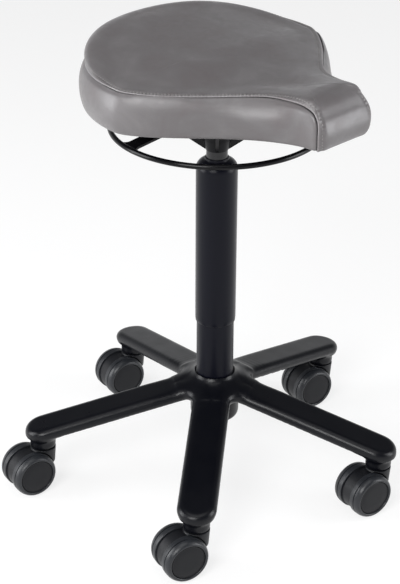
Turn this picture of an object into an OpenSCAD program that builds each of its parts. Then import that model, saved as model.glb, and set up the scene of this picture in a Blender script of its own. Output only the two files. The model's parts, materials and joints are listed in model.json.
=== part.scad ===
// Saddle stool: a padded saddle seat on a gas-lift column, with a round release ring under the
// seat and a five-legged cast base on twin-wheel castors.
// The origin is on the floor under the column axis. +Z is up and the nose of the seat is at -Y.
// All sizes are in millimetres.

/* [Seat outline] */
// Column axis to the rear edge of the seat
seat_rear = 162; // [140:1:175]
// Half of the greatest width of the seat
seat_half_w = 173; // [155:1:185]
// Column axis to the front of the nose
nose_reach = 215; // [204:1:226]
// Half width of the nose
nose_half_w = 48; // [42:1:54]
// Corner radius of the nose in plan
nose_corner_r = 14; // [10:1:20]
// Where the flank crosses at 45 degrees, forward of the column axis
flank_u = 84; // [78:1:92]
// Where the flank crosses at 45 degrees, out from the middle plane
flank_v = 108; // [100:1:114]

/* [Seat heights] */
// Floor to the lower rim of the seat at the photographed height
rim_z = 547; // [540:1:556]
// Rim to the sewn seam between the side band and the top panel
band_h = 51; // [40:1:60]
// Rise of the rounded edge above the seam along the sides
edge_rise = 1.5; // [1:0.5:6]
// Further rise of the edge towards the back
rear_rise = 24; // [12:1:30]
// Rise of the middle of the seat above its edge
mid_crown = 12; // [6:1:20]
// Depth of the saddle's dip in front of the broad part
saddle_dip = 5; // [0:0.5:8]
// Rise of the nose above the sides
pommel_rise = 6; // [0:0.5:8]
// How far the sewn seam dips at the waist of the seat
waist_dip = 2; // [0:0.5:6]
// How far the band leans in at the waist of the seat
waist_lean = 6; // [0:0.5:9]
// Share of the band's height by which the seam turns down at the nose
seam_turn = 0.16; // [0.1:0.02:0.4]
// How far the side band bulges between its edges
band_bulge = 2; // [0:0.5:5]
// Depth of the rounded front edge of the nose
waterfall_r = 22; // [16:1:28]
// How far the underside of the nose is drawn in
nose_tuck = 6; // [0:0.5:9]
// Thickness of the leather
leather_t = 1.8; // [1.2:0.1:2.6]
// Width of the leather that is turned in under the seat pan
turn_under = 14; // [10:1:20]
// Thickness of the moulded seat pan
pan_t = 10; // [7:1:14]
// Space left between the foam and the leather
foam_gap = 0.3; // [0.2:0.05:0.6]

/* [Column] */
// Outside diameter of the standpipe
standpipe_d = 50; // [48:0.5:52]
// Wall of the standpipe
standpipe_wall = 1.5; // [1.2:0.1:2.5]
// Floor to the top of the standpipe
standpipe_top = 372; // [364:1:375]
// Outside diameter of the sliding column cover
cover_d = 54; // [53.6:0.1:56]
// Wall of the column cover
cover_wall = 1.6; // [1.2:0.1:1.7]
// Floor to the lower end of the column cover at the photographed height
cover_bottom = 230.5; // [228:0.5:236]
// Floor to the top lip of the column cover at the photographed height
cover_top = 466; // [464:0.5:468]
// Radius of the shoulder of the column cover
cover_shoulder_r = 13; // [10:0.5:14]
// Width of the top lip of the column cover
cover_lip = 1.6; // [1.2:0.1:2]
// Outside diameter of the gas cylinder
cylinder_d = 28; // [27:0.5:29]
// Wall of the gas cylinder
cylinder_wall = 1.6; // [1.2:0.1:2]
// Floor to the lower end of the gas cylinder at the photographed height
cylinder_bottom = 172; // [170:1:176]
// Diameter at the thin end of the cylinder's upper taper
taper_tip_d = 25.4; // [25:0.1:26]
// Length of the guide bush in the standpipe
bush_len = 80; // [70:1:84]
// Diameter of the piston rod
rod_d = 10; // [8:0.5:12]
// Floor to the underside of the piston
piston_z = 314; // [312:1:322]
// Length of the piston
piston_len = 18; // [12:1:24]
// Radial clearance of the parts that turn or slide on each other
run_gap = 0.05; // [0.03:0.01:0.09]

/* [Seat carrier] */
// Floor to the lower lip of the taper socket at the photographed height
socket_z = 476.5; // [474:0.5:480]
// Height of the flared foot of the taper socket
socket_flare_h = 14; // [10:1:18]
// Outside radius of the taper socket
socket_r = 18; // [17:0.5:20]
// Height of the taper socket
socket_h = 46; // [42:1:48]
// Thickness of the pressed seat plate
plate_t = 3; // [2.5:0.5:4]
// Width of the seat plate across the seat
plate_w = 164; // [156:2:172]
// Length of the seat plate fore and aft
plate_l = 170; // [164:2:180]
// Spread of the seat screws across the seat
screw_spread_x = 124; // [116:2:126]
// Spread of the seat screws fore and aft
screw_spread_y = 150; // [146:2:154]
// Diameter of the seat screws
screw_d = 6; // [5:0.5:7]
// Thickness of the spider's four ribs
rib_thick = 4; // [3:0.5:5]
// Slope of the ribs' lower edge from the level
rib_slope = 34; // [33:0.5:38]

/* [Release ring] */
// Radius of the ring's centreline
ring_r = 135.5; // [125:0.5:140]
// Diameter of the ring's bar
ring_bar_d = 7; // [6:0.5:9]
// Floor to the ring's centreline at the photographed height
ring_z = 510; // [506:1:514]
// Direction of the ring's spokes about the column, in degrees from the seat's width
ring_turn = -8.5; // [-12:0.5:12]
// Width of the flat spokes
spoke_w = 20; // [16:1:24]
// Thickness of the flat spokes
spoke_t = 3; // [2.5:0.5:4]
// Diameter of the gas cylinder's release button
button_d = 8; // [6:0.5:9]
// How far the release button stands above the cylinder
button_h = 6; // [5:0.5:7]

/* [Base] */
// Number of legs
leg_count = 5; // [5]
// Direction of the first leg about +Z, in degrees
first_leg = -140; // [-180:1:180]
// Column axis to each castor stem
leg_reach = 238.4; // [225:0.2:255]
// Half width of a leg
leg_half_w = 25.5; // [22:0.5:28]
// Depth of a leg at its sides
leg_t = 18; // [16:0.5:20]
// Slope of the legs from the level, in degrees
leg_slope = 12.1; // [10:0.1:13]
// Floor to the top of a leg over its castor stem
tip_top_z = 95.6; // [92:0.1:100]
// Wall of the hollow underside of a leg
leg_wall = 4.5; // [3.5:0.5:5.5]
// Thickness of the rib inside a leg
rib_t = 4; // [3:0.5:5]
// Radius of the fillet between neighbouring legs
crotch_r = 15; // [11:1:18]
// Radius of the hub below the legs
hub_r = 33; // [31:0.5:36]
// Floor to the underside of the hub
hub_bottom = 82; // [80:1:88]
// Radius of the fillet between the hub and the column
hub_blend_r = 14; // [10:1:15]
// Radius of the boss that holds a castor stem
boss_r = 17.3; // [15:0.1:19]

/* [Castors] */
// Diameter of the wheels
wheel_d = 61; // [58:1:63]
// Horizontal distance from the stem to the axle
trail = 24; // [21:0.5:26]
// Width of one wheel with its tyre
wheel_w = 16.6; // [14:0.2:18]
// Width of the hood between the wheels
hood_w = 18; // [16:0.5:22]
// Floor to the joint between the leg and the castor
swivel_z = 61.2; // [60.5:0.1:63]
// Diameter of the castor stem
stem_d = 11; // [10:0.5:12]
// Length of the stem inside the leg
stem_len = 22; // [18:1:23]
// Diameter of the axle
axle_d = 6; // [5:0.5:8]
// Thickness of the tyre's tread
tread_t = 4; // [3.5:0.5:4.5]
// Swivel of each castor at rest: direction from its stem to its axle, in degrees
swivel = [163.4, 169.6, 168, 168, 169.7];

/* [Hidden] */
$fn = 64;
// Small overlap that makes a cut pass cleanly through a face
cut = 1;

// Seat outline. A point is [u, v]: u forward from the column axis, v out from the middle plane.
rear_steps = 9;
flank_steps = 7;
corner_steps = 3;
// Length of the curve handles at the broad shoulder, the flank and the nose
shoulder_pull = 30;
flank_pull = 33;
nose_pull = 30;
corner_u = nose_reach - nose_corner_r;
function bez(a, b, c, d, t) =
    a * pow(1 - t, 3) + b * 3 * t * pow(1 - t, 2) + c * 3 * t * t * (1 - t) + d * pow(t, 3);
half_outline = concat(
    [for (k = [0 : rear_steps]) let (a = 180 - 90 * k / rear_steps)
        [seat_rear * cos(a), seat_half_w * sin(a)]],
    [for (k = [1 : flank_steps]) bez([0, seat_half_w], [shoulder_pull, seat_half_w],
        [flank_u - flank_pull, flank_v + flank_pull], [flank_u, flank_v], k / flank_steps)],
    [for (k = [1 : flank_steps]) bez([flank_u, flank_v], [flank_u + flank_pull, flank_v - flank_pull],
        [corner_u - nose_pull, nose_half_w], [corner_u, nose_half_w], k / flank_steps)],
    [for (k = [1 : corner_steps]) let (a = 90 - 90 * k / corner_steps)
        [corner_u + nose_corner_r * cos(a), nose_half_w - nose_corner_r + nose_corner_r * sin(a)]],
    [[nose_reach, (nose_half_w - nose_corner_r) / 2], [nose_reach, 0]]
);
half_count = len(half_outline);
ring_count = 2 * (half_count - 1);
function outline(i) =
    let (k = (i + ring_count) % ring_count)
    k < half_count ? half_outline[k]
        : [half_outline[ring_count - k][0], -half_outline[ring_count - k][1]];
function unit(v) = v / norm(v);
function inward(i) = let (t = unit(outline(i + 1) - outline(i - 1))) [t[1], -t[0]];
// The first place of the outline that belongs to the front of the nose, where the seam runs down
first_front = half_count - 1 - corner_steps - 1;
function from_rear(i) = let (k = (i + ring_count) % ring_count) min(k, ring_count - k);
function on_front(i) = from_rear(i) >= first_front;

// Height of the top surface over the seam, at a point of the plan. The edge rises towards the
// back and a little at the nose; the middle is crowned, with a dip in front of the broad part.
seam_z = rim_z + band_h;
rise_start = 0;
rise_len = 150;
crown_u = -10;
crown_len = 75;
dip_u = 128;
dip_len = 38;
pommel_u = 190;
pommel_len = 42;
waist_u = 115;
waist_len = 40;
lean_u = 70;
lean_len = 60;
turn_start = 172;
tuck_start = 90;
tuck_len = 60;
function bump(x) = exp(-x * x);
function smooth(t) = let (x = min(1, max(0, t))) x * x * (3 - 2 * x);
function back_rise(u) = rear_rise * smooth((rise_start - u) / rise_len);
function lean(u) = waist_lean * bump((u - lean_u) / lean_len);
function waist(u) = waist_dip * bump((u - waist_u) / waist_len);
function edge_height(u) =
    edge_rise + back_rise(u) + pommel_rise * bump((u - pommel_u) / pommel_len) - waist(u);
function mid_height(u) =
    mid_crown * bump((u - crown_u) / crown_len) - saddle_dip * bump((u - dip_u) / dip_len);

// A seat section runs from the edge of the turned-in leather, round the side and up to the middle.
// Each entry of the side is [inset, height over the rim, inset of the inner face, rise of it,
// share of the nose's tuck, share of the waist's lean].
edge_r = 7;
seam_inset = 5;
side_rows = [
    [turn_under + edge_r, 0, 0, 1, 1, 0], [edge_r, 0, 0, 1, 1, 0],
    [edge_r * 0.3, edge_r * 0.3, 0.7, 0.7, 0.9, 0], [0, edge_r, 1, 0, 0.7, 0],
    [-band_bulge, band_h * 0.4, 1, 0, 0.15, 0.1], [-band_bulge * 0.7, band_h * 0.7, 1, 0, 0, 0.45],
    [seam_inset * 0.3, band_h * 0.9, 1, 0, 0, 0.85], [seam_inset, band_h, 1, 0, 0, 1]
];
// The same rows on the front of the nose, where the top panel rolls down to the rim
front_rows = [
    [turn_under + edge_r, 0, 0, 1, 1, 0], [edge_r, 0, 0, 1, 1, 0],
    [edge_r * 0.3, edge_r * 0.3, 0.7, 0.7, 0.9, 0], [0, edge_r, 1, 0, 0.7, 0],
    [0, band_h * 0.4, 1, 0, 0.15, 0], [0, band_h - waterfall_r, 1, 0, 0, 0],
    [waterfall_r * 0.08, band_h - waterfall_r * 0.6, 1, -0.3, 0, 0],
    [waterfall_r * 0.3, band_h - waterfall_r * 0.29, 0.7, -0.7, 0, 0]
];
seam_row = len(side_rows) - 1;
// The roll of the top panel inside the seam: [inset past the seam, share of the edge's height,
// inset of the inner face, rise of it, share of the overhang]
roll_rows = [
    [0, 0.38, 1, -0.2, 1], [1, 0.68, 0.8, -0.5, 0.8], [6, 0.9, 0.4, -0.9, 0],
    [14, 0.98, 0.1, -1, 0], [28, 1, 0, -1, 0]
];
roll_overhang = 3.5;
roll_count = len(roll_rows);
// Share of the way from the roll to the spine at each further row of the top
top_shares = [0.35, 0.7, 1];
row_count = len(side_rows) + roll_count + len(top_shares);
// The spine is the line on the middle plane to which the top rows close
spine_share = 0.72;
function to_xyz(u, v, z) = [v, -u, z];
function nose_in(i) = nose_tuck * smooth((outline(i)[0] - tuck_start) / tuck_len);
function row_at(i, j) = from_rear(i) > first_front ? front_rows[j] : side_rows[j];
function row_inset(i, j) = let (row = row_at(i, j))
    row[0] + nose_in(i) * row[4] + lean(outline(i)[0]) * row[5];
// Share of the band's height by which the seam has turned down at a place of the outline
function turned(i) = from_rear(i) > first_front ? 0
    : seam_turn * smooth((outline(i)[0] - turn_start) / (corner_u - turn_start));
function row_height(i, j) =
    let (h = row_at(i, j)[1], u = outline(i)[0], drop = band_h * turned(i) + waist(u))
    h <= edge_r ? h : h - drop * (h - edge_r) / (band_h - edge_r);
function side_point(i, j, inner) =
    let (row = row_at(i, j),
        p = outline(i) + inward(i) * (row_inset(i, j) + inner * row[2]))
    [p[0], p[1], rim_z + row_height(i, j) + inner * row[3]];
// Past the roll the rows run towards the spine, so that they don't cross at the nose's corners
roll_turn = 2;
function roll_point(i, k, inner) =
    let (row = roll_rows[k], near = roll_rows[min(k, roll_turn)], start = row_inset(i, seam_row),
        hang = roll_overhang * back_rise(outline(i)[0]) / rear_rise,
        s = outline(i) + inward(i) * (start + near[0] - hang * row[4] + inner * row[2]),
        way = [s[0] * spine_share, 0] - s,
        p = s + way / max(norm(way), cut) * (row[0] - near[0]),
        low = row_height(i, seam_row) - band_h)
    [p[0], p[1], seam_z + low + (edge_height(p[0]) - low) * row[1] + inner * row[3]];
function top_point(i, share, inner) =
    let (s = roll_point(i, roll_count - 1, 0), c = [s[0] * spine_share, 0],
        p = [s[0], s[1]] * (1 - share) + c * share)
    [p[0], p[1], seam_z + edge_height(p[0]) + mid_height(p[0]) * (1 - pow(1 - share, 2)) - inner];
function seat_point(i, j, inner) =
    let (q = j <= seam_row ? side_point(i, j, inner)
        : j <= seam_row + roll_count ? roll_point(i, j - seam_row - 1, inner)
        : top_point(i, top_shares[j - seam_row - 1 - roll_count], inner))
    to_xyz(q[0], q[1], q[2]);
function seat_index(i, j, inner) = ((inner * row_count) + j) * ring_count + (i + ring_count) % ring_count;
// True where the square of the section between row j and the next belongs to the top panel
function is_top(i, j) = j >= seam_row || (on_front(i) && on_front(i + 1));

// Column
standpipe_r = standpipe_d / 2;
standpipe_in = standpipe_r - standpipe_wall;
column_foot = hub_bottom - 4;
foot_plate_t = 4;
cylinder_r = cylinder_d / 2;
rod_r = rod_d / 2;
washer_t = 2;
ball_d = 4;
washer_r = 13;
washer_z = column_foot + foot_plate_t;
upper_washer_z = washer_z + washer_t + ball_d;
rod_collar_z = upper_washer_z + washer_t;
gland_len = 14;
taper_foot_drop = 0.7;
press_gap = 0.02;

// Heights of the parts under the seat
pan_bottom = rim_z + leather_t;
plate_bottom = pan_bottom - plate_t;
socket_top = socket_z + socket_h;
taper_start = cover_top - 2;
cylinder_top = socket_top + 2;
button_top = cylinder_top + button_h;
spoke_bottom = button_top + 0.4;
fulcrum_x = 30;
ring_hub_r = 14;
spoke_rise = (spoke_bottom + spoke_t / 2 - ring_z) / (ring_r - ring_hub_r);
spoke_tilt = atan(spoke_rise);
stop_z = spoke_bottom + spoke_t / 2 - spoke_rise * (fulcrum_x - 2 - ring_hub_r)
    + spoke_t / 2 / cos(spoke_tilt) + 0.3;
taper_drop = (cylinder_r - taper_tip_d / 2) / (cylinder_top - taper_start);
socket_bore_r = cylinder_r - taper_drop * (socket_z - taper_start) + 0.03;
socket_foot_r = socket_bore_r + 0.9;
rib_foot_r = socket_foot_r + 0.15;
plate_corner = 14;
rib_end_r = (min(plate_w, plate_l) / 2 - plate_corner) * sqrt(2) + plate_corner - 3;
rib_end_z = min(plate_bottom - 2, socket_z + (rib_end_r - rib_foot_r) * tan(rib_slope));

// Base
function leg_angle(n) = first_leg + 360 / leg_count * (n - 1);
leg_len = leg_reach / cos(leg_slope);
leg_edge_r = leg_t / 2;
function leg_top(s) = tip_top_z + (leg_reach - s) * tan(leg_slope);
hub_top = leg_top(hub_r);
blend_lip = 0.8;
blend_out = standpipe_r + blend_lip + hub_blend_r;
blend_z = leg_top(blend_out) + hub_blend_r;
boss_bottom = swivel_z + 0.5;
function pipe_r(z) = standpipe_r - taper_foot_drop * (hub_top - z) / (hub_top - column_foot);
stem_flange_t = 1;
stem_bottom = 41;

// Castors
wheel_r = wheel_d / 2;
axle_z = wheel_r;
axle_r = axle_d / 2;
hood_r = wheel_r - 2;
hood_wall = 3;
hood_top = boss_bottom - stem_flange_t - 0.2;
wheel_gap = 0.4;
wheel_in = hood_w / 2 + wheel_gap;
wheel_out = wheel_in + wheel_w;
rim_r = wheel_r - tread_t;
cap_r = rim_r - 1.1;
shoulder_w = 8;
shoulder_r = 15;

module rounded_section(half_w, t, r) {
    flat_w = half_w - r;
    translate([-flat_w, -t]) square([2 * flat_w, t]);
    for (side = [-1, 1]) translate([side * flat_w, -t / 2]) circle(r = r);
}

module leg_solid() {
    translate([leg_reach, 0, tip_top_z]) rotate([0, leg_slope, 0]) {
        rotate([90, 0, -90]) linear_extrude(leg_len)
            rounded_section(leg_half_w, leg_t, leg_edge_r);
        rotate_extrude() intersection() {
            rounded_section(leg_half_w, leg_t, leg_edge_r);
            translate([0, -leg_t]) square([leg_half_w, leg_t]);
        }
    }
}

module leg_pockets() {
    pocket_w = leg_half_w - leg_wall - rib_t / 2;
    pocket_start = boss_r + leg_wall;
    pocket_len = leg_len - pocket_start - hub_r - leg_wall;
    translate([leg_reach, 0, tip_top_z]) rotate([0, leg_slope, 0])
        for (side = [-1, 1])
            translate([-pocket_start - pocket_len, side * (rib_t + pocket_w) / 2 - pocket_w / 2,
                -leg_t - cut])
                cube([pocket_len, pocket_w, leg_t + cut - leg_wall]);
}

module crotch_web() {
    reach = (leg_half_w + crotch_r) / sin(180 / leg_count);
    web_depth = reach - crotch_r - leg_edge_r - hub_r + 3;
    web_slope = atan(tan(leg_slope) * cos(180 / leg_count));
    web_span = 180 - 360 / leg_count;
    rotate([0, 0, 180 / leg_count]) translate([reach, 0, leg_top(reach * cos(180 / leg_count))])
        rotate([0, web_slope, 0]) rotate([0, 0, 180 - web_span / 2])
            rotate_extrude(angle = web_span) {
                translate([crotch_r + leg_edge_r, -leg_t / 2]) circle(r = leg_edge_r);
                translate([crotch_r + leg_edge_r, -leg_t]) square([web_depth, leg_t]);
            }
}

module hub_solid() {
    round_r = 8;
    rotate_extrude() {
        translate([0, hub_bottom + round_r]) square([hub_r, hub_top - hub_bottom - round_r]);
        translate([0, hub_bottom]) square([hub_r - round_r, round_r]);
        intersection() {
            translate([hub_r - round_r, hub_bottom + round_r]) circle(r = round_r);
            translate([hub_r - round_r, hub_bottom]) square([round_r, round_r]);
        }
        difference() {
            translate([0, hub_top - leg_t]) square([blend_out, blend_z - hub_top + leg_t]);
            translate([blend_out, blend_z]) circle(r = hub_blend_r);
        }
    }
}

module stem_boss() {
    flare_r = 6;
    flare_z = tip_top_z - leg_t;
    translate([leg_reach, 0, 0]) rotate_extrude() {
        translate([0, boss_bottom]) square([boss_r, flare_z - boss_bottom + leg_t / 2]);
        difference() {
            translate([0, flare_z - flare_r]) square([boss_r + flare_r, flare_r + leg_t / 3]);
            translate([boss_r + flare_r, flare_z - flare_r]) circle(r = flare_r);
            translate([boss_r, boss_bottom - flare_r])
                square([flare_r + cut, flare_z - flare_r - boss_bottom + flare_r]);
        }
    }
}

module base_star() {
    color("#1b1c1f") difference() {
        union() {
            hub_solid();
            for (n = [1 : leg_count]) rotate([0, 0, leg_angle(n)]) {
                difference() {
                    leg_solid();
                    leg_pockets();
                }
                crotch_web();
                stem_boss();
            }
        }
        rotate_extrude() polygon([[0, hub_bottom - cut],
            [pipe_r(hub_bottom - cut) + press_gap, hub_bottom - cut],
            [standpipe_r + press_gap, hub_top], [standpipe_r + press_gap, blend_z + cut],
            [0, blend_z + cut]]);
        for (n = [1 : leg_count]) rotate([0, 0, leg_angle(n)])
            translate([leg_reach, 0, boss_bottom - cut])
                cylinder(r = stem_d / 2 + run_gap, h = stem_len + cut);
    }
}

module standpipe() {
    color("#1b1c1f") rotate_extrude() polygon([
        [rod_r + run_gap, column_foot], [pipe_r(column_foot), column_foot],
        [standpipe_r, hub_top], [standpipe_r, standpipe_top], [standpipe_in, standpipe_top],
        [standpipe_in, hub_top], [standpipe_in - taper_foot_drop, column_foot + foot_plate_t],
        [rod_r + run_gap, column_foot + foot_plate_t]
    ]);
}

module guide_bush() {
    flange_t = 2;
    color("#2a2a2c") difference() {
        union() {
            translate([0, 0, standpipe_top - bush_len])
                cylinder(r = standpipe_in - run_gap, h = bush_len);
            translate([0, 0, standpipe_top]) cylinder(r = standpipe_r - 0.2, h = flange_t);
        }
        translate([0, 0, standpipe_top - bush_len - cut])
            cylinder(r = cylinder_r + run_gap, h = bush_len + flange_t + 2 * cut);
    }
}

module washer(z, hole_r) {
    translate([0, 0, z]) difference() {
        cylinder(r = washer_r, h = washer_t);
        translate([0, 0, -cut]) cylinder(r = hole_r, h = washer_t + 2 * cut);
    }
}

module bearing_washer_lower() {
    color("#b9bcc0") washer(washer_z, rod_r + 1);
}

module bearing_washer_upper() {
    color("#b9bcc0") washer(upper_washer_z, rod_r + run_gap);
}

module bearing_cage() {
    cage_in = rod_r + 1.5;
    color("#c9ccd0") translate([0, 0, washer_z + washer_t + press_gap / 2]) difference() {
        cylinder(r = washer_r - 0.8, h = ball_d - press_gap);
        translate([0, 0, -cut]) cylinder(r = cage_in, h = ball_d + 2 * cut);
    }
}

module piston_rod() {
    collar_t = 3;
    rod_bottom = column_foot - 4;
    color("#c4c7cb") {
        translate([0, 0, rod_bottom]) cylinder(r = rod_r, h = piston_z + piston_len / 2 - rod_bottom);
        translate([0, 0, rod_collar_z]) cylinder(r = rod_r + 3, h = collar_t);
    }
}

module piston_head() {
    groove = 1.2;
    seat_gap = 0.02;
    color("#3a3c40") difference() {
        translate([0, 0, piston_z]) cylinder(r = cylinder_r - cylinder_wall - run_gap, h = piston_len);
        translate([0, 0, piston_z - cut]) cylinder(r = rod_r + seat_gap, h = piston_len / 2 + cut);
        translate([0, 0, piston_z + piston_len * 0.65]) difference() {
            cylinder(r = cylinder_r, h = groove * 1.5);
            translate([0, 0, -cut])
                cylinder(r = cylinder_r - cylinder_wall - groove, h = groove * 1.5 + 2 * cut);
        }
    }
}

module rod_clip() {
    clip_t = 1.6;
    color("#8d9196") translate([0, 0, column_foot - clip_t - 0.4]) difference() {
        cylinder(r = rod_r + 4, h = clip_t);
        translate([0, 0, -cut]) cylinder(r = rod_r + 0.02, h = clip_t + 2 * cut);
        translate([0, -rod_r * 0.7, -cut]) cube([rod_r + 5, rod_r * 1.4, clip_t + 2 * cut]);
    }
}

module gas_cylinder() {
    bore_r = cylinder_r - cylinder_wall;
    valve_len = cylinder_d * 0.7;
    bore_top = taper_start + valve_len;
    color("#56585c") difference() {
        union() {
            translate([0, 0, cylinder_bottom]) cylinder(r = cylinder_r, h = taper_start - cylinder_bottom);
            translate([0, 0, taper_start])
                cylinder(r1 = cylinder_r, r2 = taper_tip_d / 2, h = cylinder_top - taper_start);
        }
        translate([0, 0, cylinder_bottom - cut])
            cylinder(r = bore_r, h = taper_start - cylinder_bottom + cut);
        translate([0, 0, taper_start - cut])
            cylinder(r = taper_tip_d / 2 - cylinder_wall * 1.5, h = bore_top - taper_start + cut);
        translate([0, 0, bore_top - cut])
            cylinder(r = button_d / 2 + run_gap, h = cylinder_top - bore_top + 2 * cut);
    }
}

module cylinder_gland() {
    color("#2a2a2c") translate([0, 0, cylinder_bottom]) difference() {
        cylinder(r = cylinder_r - cylinder_wall - 0.02, h = gland_len);
        translate([0, 0, -cut]) cylinder(r = rod_r + run_gap, h = gland_len + 2 * cut);
    }
}

module cover_profile(shrink) {
    r = cover_d / 2 - shrink;
    shoulder = cover_shoulder_r - shrink;
    lip_r = cylinder_r + cover_lip - shrink;
    flat_z = cover_top - 3 - shrink;
    translate([0, cover_bottom]) square([r, flat_z - shoulder - cover_bottom]);
    translate([0, flat_z - shoulder - cut]) square([r - shoulder, shoulder + cut]);
    intersection() {
        translate([r - shoulder, flat_z - shoulder]) circle(r = shoulder);
        translate([r - shoulder, flat_z - shoulder]) square([shoulder, shoulder]);
    }
    translate([0, flat_z - cut]) square([max(lip_r, 1), cover_top - flat_z + cut - shrink]);
}

module column_cover() {
    chamfer = 0.8;
    chamfer_h = 5;
    color("#1b1c1f") difference() {
        rotate_extrude() difference() {
            cover_profile(0);
            polygon([[cover_d / 2 - chamfer, cover_bottom - cut], [cover_d / 2 + cut, cover_bottom - cut],
                [cover_d / 2 + cut, cover_bottom + chamfer_h], [cover_d / 2, cover_bottom + chamfer_h],
                [cover_d / 2 - chamfer, cover_bottom]]);
        }
        rotate_extrude() intersection() {
            cover_profile(cover_wall);
            translate([0, cover_bottom]) square([cover_d, cover_top - cover_bottom - 3 - cover_wall]);
        }
        translate([0, 0, cover_bottom - cut])
            cylinder(r = cover_d / 2 - cover_wall, h = 2 * cut);
        translate([0, 0, cover_top - 3 * cover_wall - cut])
            cylinder(r = cylinder_r + run_gap, h = 4 * cover_wall + cut);
    }
}

module taper_socket() {
    color("#17181b") difference() {
        union() {
            translate([0, 0, socket_z])
                cylinder(r1 = socket_foot_r, r2 = socket_r, h = socket_flare_h);
            translate([0, 0, socket_z + socket_flare_h])
                cylinder(r = socket_r, h = socket_h - socket_flare_h);
        }
        translate([0, 0, socket_z - cut])
            cylinder(r1 = socket_bore_r + taper_drop * cut,
                r2 = socket_bore_r - taper_drop * (socket_h + cut), h = socket_h + 2 * cut);
    }
}

module seat_plate() {
    stop_w = 26;
    stop_t = 4;
    color("#202124") difference() {
        union() {
            translate([0, 0, plate_bottom]) linear_extrude(plate_t) {
                for (sx = [-1, 1]) for (sy = [-1, 1])
                    translate([sx * (plate_w / 2 - plate_corner), sy * (plate_l / 2 - plate_corner)])
                        circle(r = plate_corner);
                square([plate_w - 2 * plate_corner, plate_l], center = true);
                square([plate_w, plate_l - 2 * plate_corner], center = true);
            }
            for (side = [0, 180]) rotate([0, 0, ring_turn + side])
                translate([fulcrum_x - stop_t / 2, -stop_w / 2, stop_z])
                    cube([stop_t, stop_w, plate_bottom - stop_z + cut]);
        }
        for (sx = [-1, 1]) for (sy = [-1, 1])
            translate([sx * screw_spread_x / 2, sy * screw_spread_y / 2, plate_bottom - cut])
                cylinder(r = screw_d / 2 + 0.3, h = plate_t + 2 * cut);
    }
}

// Four ribs from the taper socket to the corners of the plate, joined by a collar on the socket
module seat_spider() {
    collar_t = 3.5;
    collar_z = socket_z + socket_flare_h + 5;
    collar_r = socket_r + press_gap;
    clear_plate_r = socket_r + 2.5;
    web_h = 7;
    color("#6f6c6c") {
        translate([0, 0, collar_z]) difference() {
            cylinder(r = collar_r + collar_t, h = socket_top - collar_z);
            translate([0, 0, -cut]) cylinder(r = collar_r, h = socket_top - collar_z + 2 * cut);
        }
        for (k = [0 : 3]) rotate([0, 0, 45 + 90 * k]) rotate([90, 0, 0])
            linear_extrude(rib_thick, center = true) polygon([
                [rib_foot_r, socket_z], [rib_end_r, rib_end_z], [rib_end_r, plate_bottom],
                [clear_plate_r, plate_bottom], [clear_plate_r, socket_top],
                [collar_r + 0.1, socket_top - web_h], [collar_r + 0.1, socket_z + socket_flare_h]
            ]);
    }
}

module seat_screws() {
    head_h = 3.5;
    head_r = screw_d * 0.85;
    color("#8d9196") for (sx = [-1, 1]) for (sy = [-1, 1])
        translate([sx * screw_spread_x / 2, sy * screw_spread_y / 2, plate_bottom]) {
            translate([0, 0, -head_h]) cylinder(r = head_r, h = head_h);
            cylinder(r = screw_d / 2, h = plate_t + pan_t * 0.7);
        }
}

module seat_pan() {
    color("#3b3a39") difference() {
        translate([0, 0, pan_bottom]) linear_extrude(pan_t)
            polygon([for (i = [0 : ring_count - 1])
                let (p = side_point(i, 1, 0), q = inward(i) * foam_gap)
                [p[1] + q[1], -p[0] - q[0]]]);
        for (sx = [-1, 1]) for (sy = [-1, 1])
            translate([sx * screw_spread_x / 2, sy * screw_spread_y / 2, pan_bottom - cut])
                cylinder(r = screw_d / 2 + run_gap, h = pan_t * 0.8 + cut);
    }
}

// Faces of the strip of squares that is picked, as one closed skin with an outer and an inner face
module skin(pick_top) {
    picked = [for (j = [0 : row_count - 2]) [for (i = [0 : ring_count - 1])
        is_top(i, j) == pick_top]];
    function on(i, j) = j >= 0 && j < row_count - 1 && picked[j][(i + ring_count) % ring_count];
    polyhedron(
        points = [for (inner = [0, 1]) for (j = [0 : row_count - 1]) for (i = [0 : ring_count - 1])
            seat_point(i, j, inner * leather_t)],
        faces = [for (j = [0 : row_count - 2]) for (i = [0 : ring_count - 1]) if (on(i, j))
            each concat(
                quad(seat_index(i, j, 0), seat_index(i + 1, j, 0),
                    seat_index(i + 1, j + 1, 0), seat_index(i, j + 1, 0)),
                quad(seat_index(i + 1, j + 1, 1), seat_index(i + 1, j, 1),
                    seat_index(i, j, 1), seat_index(i, j + 1, 1)),
                on(i, j - 1) ? [] : quad(seat_index(i, j, 1), seat_index(i + 1, j, 1),
                    seat_index(i + 1, j, 0), seat_index(i, j, 0)),
                on(i, j + 1) || j == row_count - 2 ? [] : quad(seat_index(i, j + 1, 0),
                    seat_index(i + 1, j + 1, 0), seat_index(i + 1, j + 1, 1), seat_index(i, j + 1, 1)),
                on(i - 1, j) ? [] : quad(seat_index(i, j, 0), seat_index(i, j + 1, 0),
                    seat_index(i, j + 1, 1), seat_index(i, j, 1)),
                on(i + 1, j) ? [] : quad(seat_index(i + 1, j + 1, 0), seat_index(i + 1, j, 0),
                    seat_index(i + 1, j, 1), seat_index(i + 1, j + 1, 1)))]
    );
}

function quad(a, b, c, d) = [[a, b, c], [a, c, d]];

module leather_top() {
    color("#747171") skin(true);
}

module leather_band() {
    color("#747171") skin(false);
}

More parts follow.
